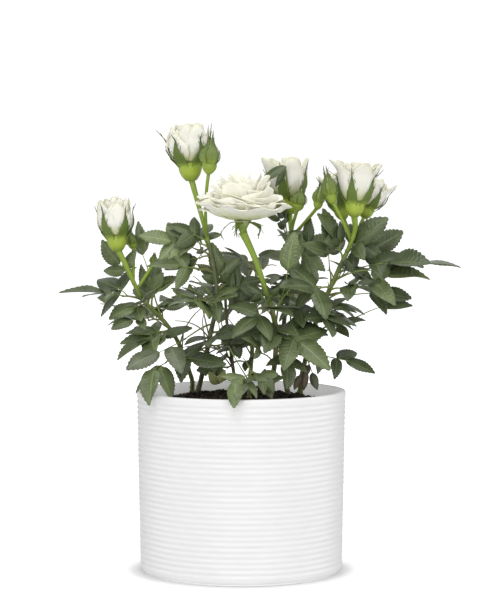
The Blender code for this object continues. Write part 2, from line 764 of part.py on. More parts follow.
def shoot_path(cane, cane_tree, place, heading, lift, length):
    """The stem of a mass, whose foot is moved along it until it is just clear of its cane."""
    anchor, along = along_path(cane, place)
    end = anchor + heading_vector(heading, lift) * length
    start_way = (swept_way(heading, lift) + along * 0.6).normalized()
    outward = start_way.cross(along).length
    offset = 3 * STEM_RADIUS
    for _ in range(SEAT_STEPS):
        start = anchor + start_way * offset
        middle = start + start_way * STEM_BOW * (end - start).length
        path = bent_path(start, middle, end, 2)
        foot = stem_mesh(path).vertices
        gap = min(cane_tree.find_nearest(vert.co)[3] for vert in foot)
        offset += (SEAT_GAP - gap) / outward
    return path


def stem_mesh(path):
    return tube(path, [STEM_RADIUS, STEM_RADIUS, RACHIS_RADIUS], TWIG_SIDES)


def leaf_path(stem, leaf, heading, lift):
    """The stalk of a compound leaf: it leaves its stem at a slant and arches over."""
    start, along = along_path(stem, leaf["place"])
    start = start - along * SINK if leaf["place"] == 1 else start
    aim = heading_vector(heading + leaf["turn"], lift + leaf["rise"])
    length = leaf["length"] - leaf["blade"] * STALK_SHARE
    end = start + aim * length
    way = swept_way(heading + leaf["turn"], lift + leaf["rise"]) + along * 0.35 + UP * RACHIS_RISE
    middle = start + way.normalized() * length * RACHIS_BOW
    return bent_path(start, middle, end, 2)


def leaf_face(path, roll):
    """The side that a leaf turns up: upwards and away from the crown's middle."""
    aim = (path[-1] - path[0]).normalized()
    out = (path[-1] - FACE_MIDDLE) * FACE_SPREAD  # component by component
    face = UP * 0.65 + out.normalized() * 0.8
    face = (face - aim * face.dot(aim)).normalized()
    return Matrix.Rotation(math.radians(roll), 3, aim) @ face


def blade_frame(path, face, leaf, leaflet, pitch):
    """Root, direction and upper side of one leaflet."""
    root, along = along_path(path, leaflet["place"])
    root = root - along * SINK if leaflet["place"] == 1 else root
    face = (face - along * face.dot(along)).normalized()
    way = Matrix.Rotation(math.radians(leaflet["angle"]), 3, face) @ along
    across = face.cross(way)
    lean = Matrix.Rotation(math.radians(-leaflet["pitch"] - pitch), 3, across)
    way = lean @ way
    face = Matrix.Rotation(math.radians(leaflet["roll"]), 3, way) @ (lean @ face)
    return root, way, face


def blade_mesh(frame, length, droop, extra=0.0, trim=0.0):
    """A drooping blade, flat above and keeled below by its midrib.  Extra fattens it and trim cuts
    off its root, both for a clearance test."""
    root, way, face = frame
    across = face.cross(way)
    thickness = BLADE_THICKNESS * length
    rings = [[root + way * (trim * length)]]
    for place, half in BLADE_SECTIONS:
        middle = root + way * (place * length) - face * (droop * length * place**2)
        half = half * length + extra
        rings.append([middle - across * half + face * extra, middle + across * half + face * extra,
                      middle - face * (thickness + extra)])
    tip = root + way * (length + extra) - face * (droop * length)
    rings.append([tip])
    return loft(rings)


def in_crown(point):
    out = point - CROWN_AXIS
    return math.hypot(out.x, out.y) < CROWN_RADIUS and CROWN_LOW < point.z < CROWN_HIGH


def grow_leaf(stem, leaf, heading, lift, trees, blades):
    """The leaf's stalk and the leaflets that find room, or nothing."""
    for turn, rise in LEAF_TRIES:
        path = leaf_path(stem, leaf, heading + turn, lift + rise)
        test = tube(trimmed_path(path, SINK), [RACHIS_RADIUS + GAP] * 3, TWIG_SIDES)
        if touches(test, trees + blades):
            continue
        face = leaf_face(path, leaf["roll"])
        grown = []
        for leaflet in leaf["leaflets"]:
            length = leaf["blade"] * leaflet["size"]
            for pitch, size in BLADE_TRIES:
                frame = blade_frame(path, face, leaf, leaflet, pitch)
                tip = frame[0] + frame[1] * length * size
                if not in_crown(tip):
                    continue
                fat = blade_mesh(frame, length * size, leaflet["droop"], GAP, 0)
                if touches(fat, trees):
                    continue
                fat = blade_mesh(frame, length * size, leaflet["droop"], GAP, ROOT_TRIM)
                if touches(fat, blades + [tree for _, tree in grown]):
                    continue
                mesh = blade_mesh(frame, length * size, leaflet["droop"])
                grown.append((mesh, tree_of(mesh)))
                break
        if 2 * len(grown) > len(leaf["leaflets"]):
            stalk = tube(path, [RACHIS_RADIUS, RACHIS_RADIUS, 0.8 * RACHIS_RADIUS], TWIG_SIDES)
            return [stalk] + [mesh for mesh, _ in grown], [tree for _, tree in grown]
    return [], []


def grow_mass(row, cane, cane_tree, trees):
    """One mass of foliage as a single fused mesh, or nothing where it finds no room."""
    name, _, place, heading, lift, reach, turn, leaves, leaflets, blade, roll = row
    plan, stem_length = plan_mass(name, turn, leaves, leaflets, blade, roll, reach)
    for leaflet in plan[0]["leaflets"]:
        leaflet["pitch"] -= HANG.get(name, 0)
    for turned_by, raised_by in STEM_TRIES:
        stem = shoot_path(cane, cane_tree, place, heading + turned_by, lift + raised_by, stem_length)
        test = tube(trimmed_path(stem, ROOT_CLEAR), [STEM_RADIUS + GAP] * 3, TWIG_SIDES)
        if touches(test, trees):
            continue
        meshes = [stem_mesh(stem)]
        blades = []
        for leaf in plan:
            grown, grown_trees = grow_leaf(stem, leaf, heading + turned_by, lift + raised_by, trees, blades)
            meshes.extend(grown)
            blades.extend(grown_trees)
        if len(meshes) > 1:
            return fuse(meshes)
    return None


# ---------------------------------------------------------------- the whole plant


def build():
    plant = add_collection("potted_rose_bush")
    pot = turned("pot", pot_profile(), "pot", plant)
    soil = make_soil(plant)
    soil_tree = tree_of(soil.data)
    evaluated = pot.evaluated_get(bpy.context.evaluated_depsgraph_get())
    trees = [tree_of(bpy.data.meshes.new_from_object(evaluated)), soil_tree]
    paths, tips, cane_trees = {}, {}, {}
    for name, (route, foot, tip) in CANES.items():
        path = cane_path(route, foot * MM, soil_tree)
        paths[name] = path
        tips[name] = along_path(path, 1)
        mesh = tube(path, cane_radii(path, foot * MM, tip * MM), CANE_SIDES)
        finish_object(name, mesh, "cane", plant)
        cane_trees[name] = tree_of(mesh)
        trees.append(cane_trees[name])
    grow_flowers(tips, plant, trees)
    for row in MASSES:
        cane = row[1]
        mesh = grow_mass(row, paths[cane], cane_trees[cane], trees)
        if mesh is None:
            print("no room for", row[0])
            continue
        finish_object(row[0], mesh, "leaf", plant)
        trees.append(tree_of(mesh))


clear_scene()
GUIDES = add_collection("guides")
build()
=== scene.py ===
# A potted miniature rose bush: ribbed white pot, dark peat, green canes, compound leaves and cream blooms.
import random
from math import atan2, cos, exp, hypot, pi, radians, sin, sqrt

import bpy
import numpy as np
from mathutils import Matrix, Vector, noise
from mathutils.bvhtree import BVHTree
from mathutils.kdtree import KDTree


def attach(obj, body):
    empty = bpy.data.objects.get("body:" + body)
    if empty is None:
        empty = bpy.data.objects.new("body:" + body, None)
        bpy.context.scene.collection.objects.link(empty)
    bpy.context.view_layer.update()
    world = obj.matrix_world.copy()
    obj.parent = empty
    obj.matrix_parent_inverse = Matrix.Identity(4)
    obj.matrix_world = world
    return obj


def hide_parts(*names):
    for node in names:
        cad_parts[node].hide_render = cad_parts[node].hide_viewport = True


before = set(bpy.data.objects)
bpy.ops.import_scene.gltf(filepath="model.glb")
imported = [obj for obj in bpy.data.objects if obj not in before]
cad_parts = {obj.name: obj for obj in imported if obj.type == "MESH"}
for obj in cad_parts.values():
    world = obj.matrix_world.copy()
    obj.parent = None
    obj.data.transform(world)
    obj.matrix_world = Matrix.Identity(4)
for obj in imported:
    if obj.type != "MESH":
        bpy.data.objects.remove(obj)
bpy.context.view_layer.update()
mm = 0.001
up = Vector((0, 0, 1))
gap = 0.3 * mm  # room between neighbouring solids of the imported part


# one number from each range of least and most, in the order in which they stand
def drawEach(chance, ranges):
    return {part: chance.uniform(*span) for part, span in ranges.items()}


# everything is let go before a primitive is added or an operator is used
def letGo():
    bpy.ops.object.select_all(action="DESELECT")


def editMode(on):
    bpy.ops.object.mode_set(mode="EDIT" if on else "OBJECT")


def applyModifier(item, kind, **settings):
    letGo()
    item.select_set(True)
    bpy.context.view_layer.objects.active = item
    modifier = item.modifiers.new(kind.lower(), kind)
    for name, value in settings.items():
        setattr(modifier, name, value)
    bpy.ops.object.modifier_apply(modifier=modifier.name)


# a small shape that is modelled once: its points and faces, to be copied many times
def takeShape(item):
    points = [vert.co.copy() for vert in item.data.vertices]
    faces = [tuple(face.vertices) for face in item.data.polygons]
    bpy.data.objects.remove(item)
    return points, faces


# a profile of (radius, height) drawn out from one vertex and spun round Z
def spinProfile(name, profile, steps):
    letGo()
    bpy.ops.mesh.primitive_plane_add(size=mm)
    item = bpy.context.object
    item.name = item.data.name = name
    editMode(True)
    bpy.ops.mesh.merge(type="CENTER")
    bpy.ops.transform.translate(value=(profile[0][0], 0, profile[0][1]))
    for before, after in zip(profile, profile[1:]):
        step = (after[0] - before[0], 0, after[1] - before[1])
        bpy.ops.mesh.extrude_region_move(TRANSFORM_OT_translate={"value": step})
    bpy.ops.mesh.select_all(action="SELECT")
    bpy.ops.mesh.spin(steps=steps, angle=2 * pi, center=(0, 0, 0), axis=(0, 0, 1))
    bpy.ops.mesh.select_all(action="SELECT")
    bpy.ops.mesh.remove_doubles(threshold=0.002 * mm)
    bpy.ops.mesh.normals_make_consistent(inside=False)
    editMode(False)
    bpy.ops.object.shade_smooth()
    return item


# a pile gathers the points and faces of many small things, to be joined as one piece
def newPile():
    return {"points": [], "faces": [], "slots": [], "uvs": []}


# slots is one material slot, or a list with one for each face
def addToPile(pile, points, faces, uvs, slots):
    first = len(pile["points"])
    pile["points"].extend(points)
    pile["faces"].extend([tuple(first + corner for corner in face) for face in faces])
    pile["uvs"].extend(uvs)
    pile["slots"].extend(slots if isinstance(slots, list) else [slots] * len(faces))


def pieceFromPile(name, pile, materials, stands=()):
    mesh = bpy.data.meshes.new(name)
    mesh.from_pydata([tuple(point) for point in pile["points"]], [], pile["faces"])
    layer = mesh.uv_layers.new(name="shape")
    corners = np.empty(len(mesh.loops), np.int32)
    mesh.loops.foreach_get("vertex_index", corners)
    layer.data.foreach_set("uv", np.array(pile["uvs"], np.float32)[corners].ravel())
    mesh.polygons.foreach_set("use_smooth", [True] * len(mesh.polygons))
    for material in materials:
        mesh.materials.append(material)
    mesh.polygons.foreach_set("material_index", pile["slots"])
    mesh.update()
    item = bpy.data.objects.new(name, mesh)
    bpy.context.scene.collection.objects.link(item)
    return placePiece(item, stands)


def placePiece(item, stands=()):
    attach(item, "root")
    if stands:
        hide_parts(*stands)
    return item


# paths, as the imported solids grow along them
def headingVector(heading, lift):
    turn, rise = radians(heading), radians(lift)
    return Vector((cos(rise) * cos(turn), cos(rise) * sin(turn), sin(rise)))


def smoothPath(points, spans):
    ends = [points[0] * 2 - points[1], *points, points[-1] * 2 - points[-2]]
    path = []
    for a, b, c, d in zip(ends, ends[1:], ends[2:], ends[3:]):
        for step in range(spans):
            t = step / spans
            path.append(0.5 * (2 * b + (c - a) * t + (2 * a - 5 * b + 4 * c - d) * t**2
                               + (3 * b - a - 3 * c + d) * t**3))
    return path + [points[-1]]


def bentPath(start, middle, end, spans):
    steps = [step / spans for step in range(spans + 1)]
    return [start * (1 - t) ** 2 + middle * (2 * t * (1 - t)) + end * t**2 for t in steps]


def pathLength(path):
    return sum((b - a).length for a, b in zip(path, path[1:]))


def alongPath(path, share):
    left = share * pathLength(path)
    for a, b in zip(path, path[1:]):
        length = (b - a).length
        if left <= length + 1e-9:
            return a.lerp(b, left / max(length, 1e-9)), (b - a).normalized()
        left -= length
    return path[-1].copy(), (path[-1] - path[-2]).normalized()


# points, faces and uvs of rings that are closed by a point at each end
def closedRings(rings, foot, tip):
    sides, last = len(rings[0]), len(rings) - 1
    points = [*(point for ring in rings for point in ring), foot, tip]
    uvs = [(index / last, corner / sides) for index in range(last + 1) for corner in range(sides)]
    pairs = [(corner, (corner + 1) % sides) for corner in range(sides)]
    faces = [(low + a, low + b, low + sides + b, low + sides + a)
             for low in range(0, last * sides, sides) for a, b in pairs]
    faces += [(b, a, len(points) - 2) for a, b in pairs]
    faces += [(last * sides + a, last * sides + b, len(points) - 1) for a, b in pairs]
    return points, faces, uvs + [(0, 0), (1, 0)]


# a closed tube along a path; relief(point, share, angle) adds to the radius
def tubeParts(path, radii, sides, relief=None):
    rings = []
    normal = (path[1] - path[0]).normalized().orthogonal().normalized()
    last = len(path) - 1
    for index, place in enumerate(path):
        tangent = (path[min(index + 1, last)] - path[max(index - 1, 0)]).normalized()
        normal = (normal - tangent * normal.dot(tangent)).normalized()
        side = tangent.cross(normal)
        rings.append([])
        for corner in range(sides):
            angle = 2 * pi * corner / sides
            out = normal * cos(angle) + side * sin(angle)
            radius = radii[index]
            if relief:
                radius += relief(place + out * radius, index / last, angle)
            rings[-1].append(place + out * radius)
    return closedRings(rings, path[0], path[-1])


def taper(path, foot, tip):
    last = len(path) - 1
    return [foot + (tip - foot) * index / last for index in range(last + 1)]


def addTube(pile, path, foot, tip, sides, slot):
    addToPile(pile, *tubeParts(path, taper(path, foot, tip), sides), slot)


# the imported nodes, read as points and as trees to look things up in
def nodePoints(name):
    return [vert.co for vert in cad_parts[name].data.vertices]


def treeOf(points, faces):
    return BVHTree.FromPolygons([tuple(point) for point in points], faces)


def nodeTree(name):
    return treeOf(nodePoints(name), [tuple(face.vertices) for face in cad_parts[name].data.polygons])


def pointTree(points):
    tree = KDTree(len(points))
    for index, point in enumerate(points):
        tree.insert(point, index)
    tree.balance()
    return tree


# shader nodes: sockets are given as a dictionary, from a value or from another node's output
def addNode(tree, kind, sockets=None, **settings):
    node = tree.nodes.new("ShaderNode" + kind)
    for name, value in settings.items():
        setattr(node, name, value)
    for name, value in (sockets or {}).items():
        if isinstance(value, bpy.types.NodeSocket):
            tree.links.new(value, node.inputs[name])
        else:
            colour = node.inputs[name].type == "RGBA"
            node.inputs[name].default_value = (*value, 1) if colour else value
    return node


def maths(tree, operation, *values):
    return addNode(tree, "Math", dict(enumerate(values)), operation=operation).outputs[0]


def blendColours(tree, factor, first, second):
    return addNode(tree, "Mix", {0: factor, 6: first, 7: second}, data_type="RGBA").outputs[2]


def fadeBetween(tree, value, low, high, to=(0, 1)):
    return addNode(tree, "MapRange", {"Value": value, "From Min": low, "From Max": high, "To Min": to[0],
                                      "To Max": to[1]}, interpolation_type="SMOOTHSTEP").outputs["Result"]


def noiseOver(tree, place, scale, detail, **more):
    return addNode(tree, "TexNoise", {"Vector": place, "Scale": scale, "Detail": detail, **more}).outputs["Fac"]


def stretchedPlace(tree, place, scale):
    return addNode(tree, "Mapping", {"Vector": place, "Scale": scale}).outputs["Vector"]


def objectPlace(tree):
    return addNode(tree, "TexCoord").outputs["Object"]


def lengthOf(tree, place):
    return addNode(tree, "VectorMath", {0: place}, operation="LENGTH").outputs["Value"]


# the place on a leaf, petal or stem, and its parts along and across it
def shapePlace(tree):
    place = addNode(tree, "UVMap", uv_map="shape").outputs["UV"]
    parts = addNode(tree, "SeparateXYZ", {"Vector": place}).outputs
    return place, parts["X"], parts["Y"]


def newMaterial(name, **constants):
    material = bpy.data.materials.new(name)
    material.use_nodes = True
    shader = material.node_tree.nodes["Principled BSDF"]
    for socket, value in constants.items():
        shader.inputs[socket.replace("_", " ")].default_value = value
    return material, material.node_tree, shader


# base colour, roughness and the height that makes a bump, where each is given
def joinShader(tree, shader, base, rough, height, strength, distance):
    bump = addNode(tree, "Bump", {"Height": height, "Strength": strength, "Distance": distance})
    for socket, source in (("Base Color", base), ("Roughness", rough), ("Normal", bump.outputs["Normal"])):
        if source:
            tree.links.new(source, shader.inputs[socket])


# a faint white light that a surface gives off
def addGlow(tree, shader, strength):
    shader.inputs["Emission Color"].default_value = (1, 1, 1, 1)
    tree.links.new(strength, shader.inputs["Emission Strength"])


# the finish of glaze, earth, prickles and floor: patches of tones, a grain that roughens and a fine relief
def mottledMaterial(name, tones, patch, grain, rough, relief, gloss):
    material, tree, shader = newMaterial(name, Specular_IOR_Level=gloss)
    place = objectPlace(tree)
    patches = noiseOver(tree, place, 1 / patch, 5.0, Roughness=0.6)
    fine = noiseOver(tree, place, 1 / grain, 4.0)
    ramp = addNode(tree, "ValToRGB", {"Fac": patches})
    stops = ramp.color_ramp.elements
    while len(stops) < len(tones):
        stops.new(0.5)
    for index, tone in enumerate(tones):  # over the middle of the noise's range
        stops[index].position = 0.32 + 0.36 * index / (len(tones) - 1)
        stops[index].color = (*tone, 1)
    joinShader(tree, shader, ramp.outputs["Color"], fadeBetween(tree, fine, 0.3, 0.7, rough), fine, relief,
               grain * 0.5)
    return material


potShape = {
    "height": 113 * mm,
    "rimRadius": 65 * mm,
    "footRadius": 62.8 * mm,
    "wall": 4 * mm,
    "floor": 5 * mm,
    "lipRound": 1 * mm,
    "footRound": 4.5 * mm,
    "rimBand": 5.4 * mm,  # the smooth strip above the ribs
    "pitch": 3.36 * mm,
    "grooves": 31,
    "depth": 0.55 * mm,
    "ribPoints": 8,
    "roundPoints": 6,
    "steps": 144,
    "throughLight": 0.2,  # painted light: the inner wall glows faintly, to lift the shade that the foliage casts there
    "innerGlaze": (61.0 * mm, 61.6 * mm),  # the glaze is painted whiter inside, up to this radius: painted light on the shaded inner wall
}


def outerRadius(z):
    return potShape["footRadius"] + (potShape["rimRadius"] - potShape["footRadius"]) * z / potShape["height"]


def innerRadius(z):
    return outerRadius(z) - potShape["wall"]


def arcPoints(x, z, radius, start, end):
    count = potShape["roundPoints"]
    angles = [radians(start + (end - start) * step / count) for step in range(count + 1)]
    return [(x + radius * cos(a), z + radius * sin(a)) for a in angles]


# from the middle of the inner floor, up inside, over the lip and down the ribbed outside
def potProfile():
    pot = potShape
    floor, height, lip, foot, pitch = (pot[part] for part in ("floor", "height", "lipRound", "footRound", "pitch"))
    points = [(0, floor), (innerRadius(0) - 3 * mm, floor), (innerRadius(0), floor + 3 * mm),
              (innerRadius(0.8 * height), 0.8 * height)]
    points += arcPoints(innerRadius(height) + lip, height - lip, lip, 180, 90)
    points += arcPoints(pot["rimRadius"] - lip, height - lip, lip, 90, 0)
    for step in range(pot["grooves"] * pot["ribPoints"] + 1):
        turns = step / pot["ribPoints"]
        z = height - pot["rimBand"] + pitch / 2 - turns * pitch
        dip = (0.5 - 0.5 * cos(2 * pi * turns)) ** 1.6
        points.append((outerRadius(z) - pot["depth"] * dip, z))
    return points + arcPoints(outerRadius(0) - foot, foot, foot, 0, -90) + [(0, 0)]


pot = spinProfile("whitePot", potProfile(), potShape["steps"])
glaze = mottledMaterial("whiteGlaze", [(0.782, 0.782, 0.785), (0.792, 0.792, 0.792), (0.798, 0.798, 0.794)],
                        0.03, 0.0016, (0.36, 0.46), 0.05, 0.45)
tree = glaze.node_tree
shader = tree.nodes["Principled BSDF"]
outside = shader.inputs["Base Color"].links[0].from_socket
# painted light: inside the wall the glaze is painted whiter and glows faintly, to lift the shade that the foliage
# casts on the inner wall
flat = addNode(tree, "VectorMath", {0: objectPlace(tree), 1: (1, 1, 0)}, operation="MULTIPLY").outputs[0]
inside = fadeBetween(tree, lengthOf(tree, flat), *potShape["innerGlaze"], (1, 0))
tree.links.new(blendColours(tree, inside, outside, (0.94, 0.94, 0.94)), shader.inputs["Base Color"])
addGlow(tree, shader, maths(tree, "MULTIPLY", inside, potShape["throughLight"]))
pot.data.materials.append(glaze)
placePiece(pot, ["pot"])
print("pot made")

soilShape = {
    "edge": 104.5 * mm,
    "mound": 5.5 * mm,
    "flat": 0.45,  # share of the radius over which the mound is flat
    "lumps": 0.8 * mm,
    "lumpSize": 9 * mm,
    "rings": 44,
    "steps": 150,
    "roughness": ((7, 0.9), (3.1, 0.8), (1.5, 0.5)),  # size and height of the crumbled lumps, in mm
    "crumbs": 1500,
    "fibres": 260,
}
soilRim = innerRadius(soilShape["edge"]) - gap


# crumbled peat: a mound, and lumps of several sizes on it
def crumbledHeight(x, y):
    share = hypot(x, y) / innerRadius(soilShape["edge"])
    fall = min(1, max(0, (share - soilShape["flat"]) / (1 - soilShape["flat"])))
    mound = 1 - fall * fall * (3 - 2 * fall)
    lumps = noise.noise(Vector((x, y, 0)) / soilShape["lumpSize"]) * (1 - fall)
    height = soilShape["edge"] + soilShape["mound"] * mound + soilShape["lumps"] * lumps
    rough = 0
    for size, rise in soilShape["roughness"]:
        rough += rise * mm * abs(noise.noise(Vector((x, y, size)) / (size * mm)))
    return height + rough - 0.5 * mm


profile = [(soilRim * ring / soilShape["rings"], soilShape["edge"]) for ring in range(soilShape["rings"] + 1)]
profile += [(soilRim, soilShape["edge"] - 1.5 * mm), (innerRadius(0) - gap, potShape["floor"] + 4 * mm),
            (innerRadius(0) - 4 * mm, potShape["floor"] + gap), (0, potShape["floor"] + gap)]
soil = spinProfile("peat", profile, soilShape["steps"])
for vert in soil.data.vertices:
    if vert.co.z > soilShape["edge"] - 0.5 * mm:
        vert.co.z = crumbledHeight(vert.co.x, vert.co.y)
soil.data.materials.append(mottledMaterial(
    "darkPeat", [(0.006, 0.005, 0.004), (0.016, 0.013, 0.010), (0.045, 0.036, 0.026)], 0.003, 0.0009, (0.8, 1.0),
    0.9, 0.2))
placePiece(soil, ["soil"])

# one crumb, pulled out of round, and short fibres are strewn over the peat
letGo()
bpy.ops.mesh.primitive_ico_sphere_add(subdivisions=1, radius=1)
crumb = bpy.context.object
editMode(True)
bpy.ops.transform.vertex_random(offset=0.3, seed=4)
bpy.ops.transform.resize(value=(1, 0.8, 0.6))
editMode(False)
crumbPoints, crumbFaces = takeShape(crumb)


def strewnPlace(chance, margin):
    reach = (soilRim - margin) * sqrt(chance.random())
    turn = chance.uniform(0, 2 * pi)
    return reach * cos(turn), reach * sin(turn)


def strewCrumbs():
    chance = random.Random("crumbs")
    pile = newPile()
    for _ in range(soilShape["crumbs"]):
        x, y = strewnPlace(chance, 1.2 * mm)
        size = (0.35 + 1.1 * chance.random() ** 3) * mm
        spin = Matrix.Rotation(chance.uniform(0, 6.28), 3, Vector((chance.random(), chance.random(), 1)))
        centre = Vector((x, y, crumbledHeight(x, y) + 0.35 * size))
        points = [centre + spin @ point * size for point in crumbPoints]
        addToPile(pile, points, crumbFaces, [(0, 0)] * len(points), chance.choice((0, 0, 0, 0, 1, 1, 1, 2)))
    return pile


def strewFibres():
    chance = random.Random("bits")
    pile = newPile()
    for _ in range(soilShape["fibres"]):
        x, y = strewnPlace(chance, 4 * mm)
        heading = chance.uniform(0, 360)
        start = Vector((x, y, crumbledHeight(x, y) + 0.2 * mm))
        length = chance.uniform(1.5, 5) * mm
        end = start + headingVector(heading, chance.uniform(-4, 14)) * length
        middle = start.lerp(end, 0.5) + up * 0.12 * length + headingVector(heading + 90, 0) * 0.15 * length
        radius = chance.uniform(0.1, 0.24) * mm
        addTube(pile, bentPath(start, middle, end, 3), radius, 0.6 * radius, 4, chance.choice((0, 1, 1, 2)))
    return pile


crumbLooks = [
    ("crumbBlack", [(0.008, 0.006, 0.004), (0.022, 0.015, 0.01)], (0.8, 1.0), 0.6),
    ("crumbBrown", [(0.03, 0.022, 0.015), (0.06, 0.044, 0.03)], (0.75, 1.0), 0.6),
    ("crumbTan", [(0.10, 0.062, 0.034), (0.17, 0.11, 0.06)], (0.7, 0.95), 0.5),
]
crumbMaterials = [mottledMaterial(name, tones, 0.002, 0.0006, rough, relief, 0.2)
                  for name, tones, rough, relief in crumbLooks]
pieceFromPile("peatCrumbs", strewCrumbs(), crumbMaterials)
pieceFromPile("peatFibres", strewFibres(), crumbMaterials)
print("soil made")

# canes: route in millimetres (the first point lies on the soil), radii at foot and tip, bark
caneRoutes = {
    "west_cane": ([(-27, 18, 0), (-24, 14, 124), (-19, 8, 148), (-15, 3, 172), (-20, 2, 204)], 1.6, 1.3, "old"),
    "left_cane": ([(-31, 28, 0), (-32, 24, 120), (-43, 10, 148), (-63, -3, 171)], 1.5, 1.2, "green"),
    "main_cane": ([(18, -8, 0), (21, -12, 134), (21, -15, 153), (18, -18, 167)], 1.6, 1.6, "green"),
    "centre_cane": ([(29, 10, 0), (27, 12, 124), (27, 18, 155), (33, 24, 183), (32, 26, 205)], 1.6, 1.2, "old"),
    "east_cane": ([(37, 22, 0), (39, 16, 125), (47, 4, 156), (59, -3, 185), (66, -4, 200)], 1.6, 1.4, "green"),
    "thin_cane": ([(-3, 12, 0), (-6, 12, 132), (-9, 14, 154), (-10, 16, 169)], 1.2, 0.9, "old"),
    "north_cane": ([(5, 30, 0), (7, 38, 135), (9, 52, 165), (10, 66, 190)], 1.5, 1.1, "green"),
    "south_cane": ([(5, -25, 0), (5, -30, 117), (6, -37, 124), (7, -44, 128)], 1.1, 0.9, "green"),
}
caneShape = {
    "spans": 2,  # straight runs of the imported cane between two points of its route
    "fineSpans": 14,
    "sides": 14,
    "flare": 1.35,
    "footFlares": (1.5, 1.35, 1.12),  # at the lowest rings, from the peat up
    "inPeat": 4 * mm,
    "nodeEvery": 13 * mm,
    "nodeSwell": 0.28 * mm,
    "nodeHalf": 0.9 * mm,
    "relief": 0.1 * mm,
    "bumps": (1.4 * mm, 0.6 * mm),
    "prickle": 1.7 * mm,
    "prickleEvery": 6.5 * mm,
    "bareEnds": (7 * mm, 4 * mm),  # no prickles at the foot and at the tip
}
soilTree = nodeTree("soil")


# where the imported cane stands: its foot, cut square to it, is just clear of the soil
def caneFoot(route, footRadius):
    foot = Vector(route[0]) * mm
    above = Vector((foot.x, foot.y, potShape["height"]))
    foot.z = soilShape["edge"] + soilShape["mound"]
    aim = Vector(route[1]) * mm - foot
    edges = [headingVector(45 * index, 0) * footRadius * caneShape["flare"] * 1.1 for index in range(8)]
    foot.z = max(soilTree.ray_cast(above + edge, -up)[0].z + edge.dot(aim) / aim.z for edge in edges) + gap
    return foot


canePaths, fineCanes, caneRadii = {}, {}, {}
for name, (route, footSize, tipSize, _) in caneRoutes.items():
    foot = caneFoot(route, footSize * mm)
    points = [foot, *(Vector(point) * mm for point in route[1:])]
    canePaths[name] = smoothPath(points, caneShape["spans"])
    below = foot + (foot - points[1]).normalized() * caneShape["inPeat"]
    fineCanes[name] = [below, *smoothPath(points, caneShape["fineSpans"])]
    caneRadii[name] = (footSize * mm, tipSize * mm)


def radiusAlong(name, share):
    foot, tip = caneRadii[name]
    return foot + (tip - foot) * share


# bark: swollen leaf scars one above another, shallow furrows and fine bumps
def barkRelief(name):
    chance = random.Random(name)
    length = pathLength(fineCanes[name])
    scars = []
    place = caneShape["nodeEvery"] * chance.uniform(0.3, 0.8)
    while place < length:
        scars.append((place / length, chance.uniform(0, 2 * pi)))
        place += caneShape["nodeEvery"] * chance.uniform(0.7, 1.3)

    def relief(point, share, angle):
        swell = 0
        for scar, turn in scars:
            near = exp(-(((share - scar) * length / caneShape["nodeHalf"]) ** 2))
            swell += caneShape["nodeSwell"] * near * (0.55 + 0.45 * cos(angle - turn))
        coarse, fine = caneShape["bumps"]
        bumps = noise.noise(point / coarse) + 0.6 * noise.noise(point / fine)
        furrows = 0.4 * cos(5 * angle + 3 * share)
        return swell + caneShape["relief"] * (bumps + furrows)

    return relief


def barkMaterial(name, low, high, tan):
    material, tree, shader = newMaterial(name, Specular_IOR_Level=0.35)
    place = objectPlace(tree)
    height = addNode(tree, "SeparateXYZ", {"Vector": place}).outputs["Z"]
    streaks = noiseOver(tree, stretchedPlace(tree, place, (1, 1, 0.25)), 900.0, 4.0)
    patches = noiseOver(tree, place, 180.0, 2.0)
    green = blendColours(tree, fadeBetween(tree, height, 0.115, 0.15), low, high)
    worn = blendColours(tree, fadeBetween(tree, patches, 0.5, 0.72), green, tan)
    streaked = blendColours(tree, fadeBetween(tree, streaks, 0.35, 0.75, (0.0, 0.45)), worn, tan)
    rough = fadeBetween(tree, streaks, 0.3, 0.7, (0.42, 0.62))
    joinShader(tree, shader, streaked, rough, streaks, 0.35, 0.3 * mm)
    return material


barkTones = {
    "old": barkMaterial("oldBark", (0.13, 0.125, 0.06), (0.10, 0.13, 0.045), (0.19, 0.165, 0.09)),
    "green": barkMaterial("greenBark", (0.20, 0.24, 0.08), (0.15, 0.21, 0.045), (0.27, 0.26, 0.12)),
}

# each cane is a path made a mesh, and its bark is raised point by point
for name, path in fineCanes.items():
    radii = taper(path, *caneRadii[name])
    for index, flare in enumerate(caneShape["footFlares"]):
        radii[index] *= flare
    pile = newPile()
    addToPile(pile, *tubeParts(path, radii, caneShape["sides"], barkRelief(name)), 0)
    pieceFromPile(name.replace("_cane", "Cane"), pile, [barkTones[caneRoutes[name][3]]], [name])

# one prickle: a flat cone, drawn out and hooked down, set along the canes
letGo()
bpy.ops.mesh.primitive_cone_add(vertices=6, radius1=0.42, radius2=0, depth=1, location=(0, 0, 0.5))
prickle = bpy.context.object
bpy.ops.object.transform_apply(location=True, rotation=False, scale=False)
editMode(True)
bpy.ops.mesh.subdivide(number_cuts=1)
editMode(False)
for vert in prickle.data.vertices:
    x, y, z = vert.co
    vert.co = (x * 0.6, y * 1.3 - 0.35 * z**2, z - 0.15)
pricklePoints, prickleFaces = takeShape(prickle)


def setPrickles():
    chance = random.Random("prickles")
    pile = newPile()
    bareFoot, bareTip = caneShape["bareEnds"]
    for name, path in fineCanes.items():
        length = pathLength(path)
        place = bareFoot
        while place < length - bareTip:
            share = place / length
            point, along = alongPath(path, share)
            out = Matrix.Rotation(chance.uniform(0, 6.28), 3, along) @ along.orthogonal().normalized()
            turned = Matrix((along.cross(out), along, out)).transposed()
            size = caneShape["prickle"] * chance.uniform(0.6, 1.1)
            base = point + out * radiusAlong(name, share) * 0.95
            points = [base + turned @ corner * size for corner in pricklePoints]
            addToPile(pile, points, prickleFaces, [(0, 0)] * len(points), 0)
            place += caneShape["prickleEvery"] * chance.uniform(0.5, 1.7)
    return pile


prickleRed = mottledMaterial("prickleRed", [(0.16, 0.10, 0.045), (0.26, 0.17, 0.08)], 0.004, 0.0007, (0.4, 0.55),
                             0.1, 0.4)
pieceFromPile("prickles", setPrickles(), [prickleRed])
print("canes made")

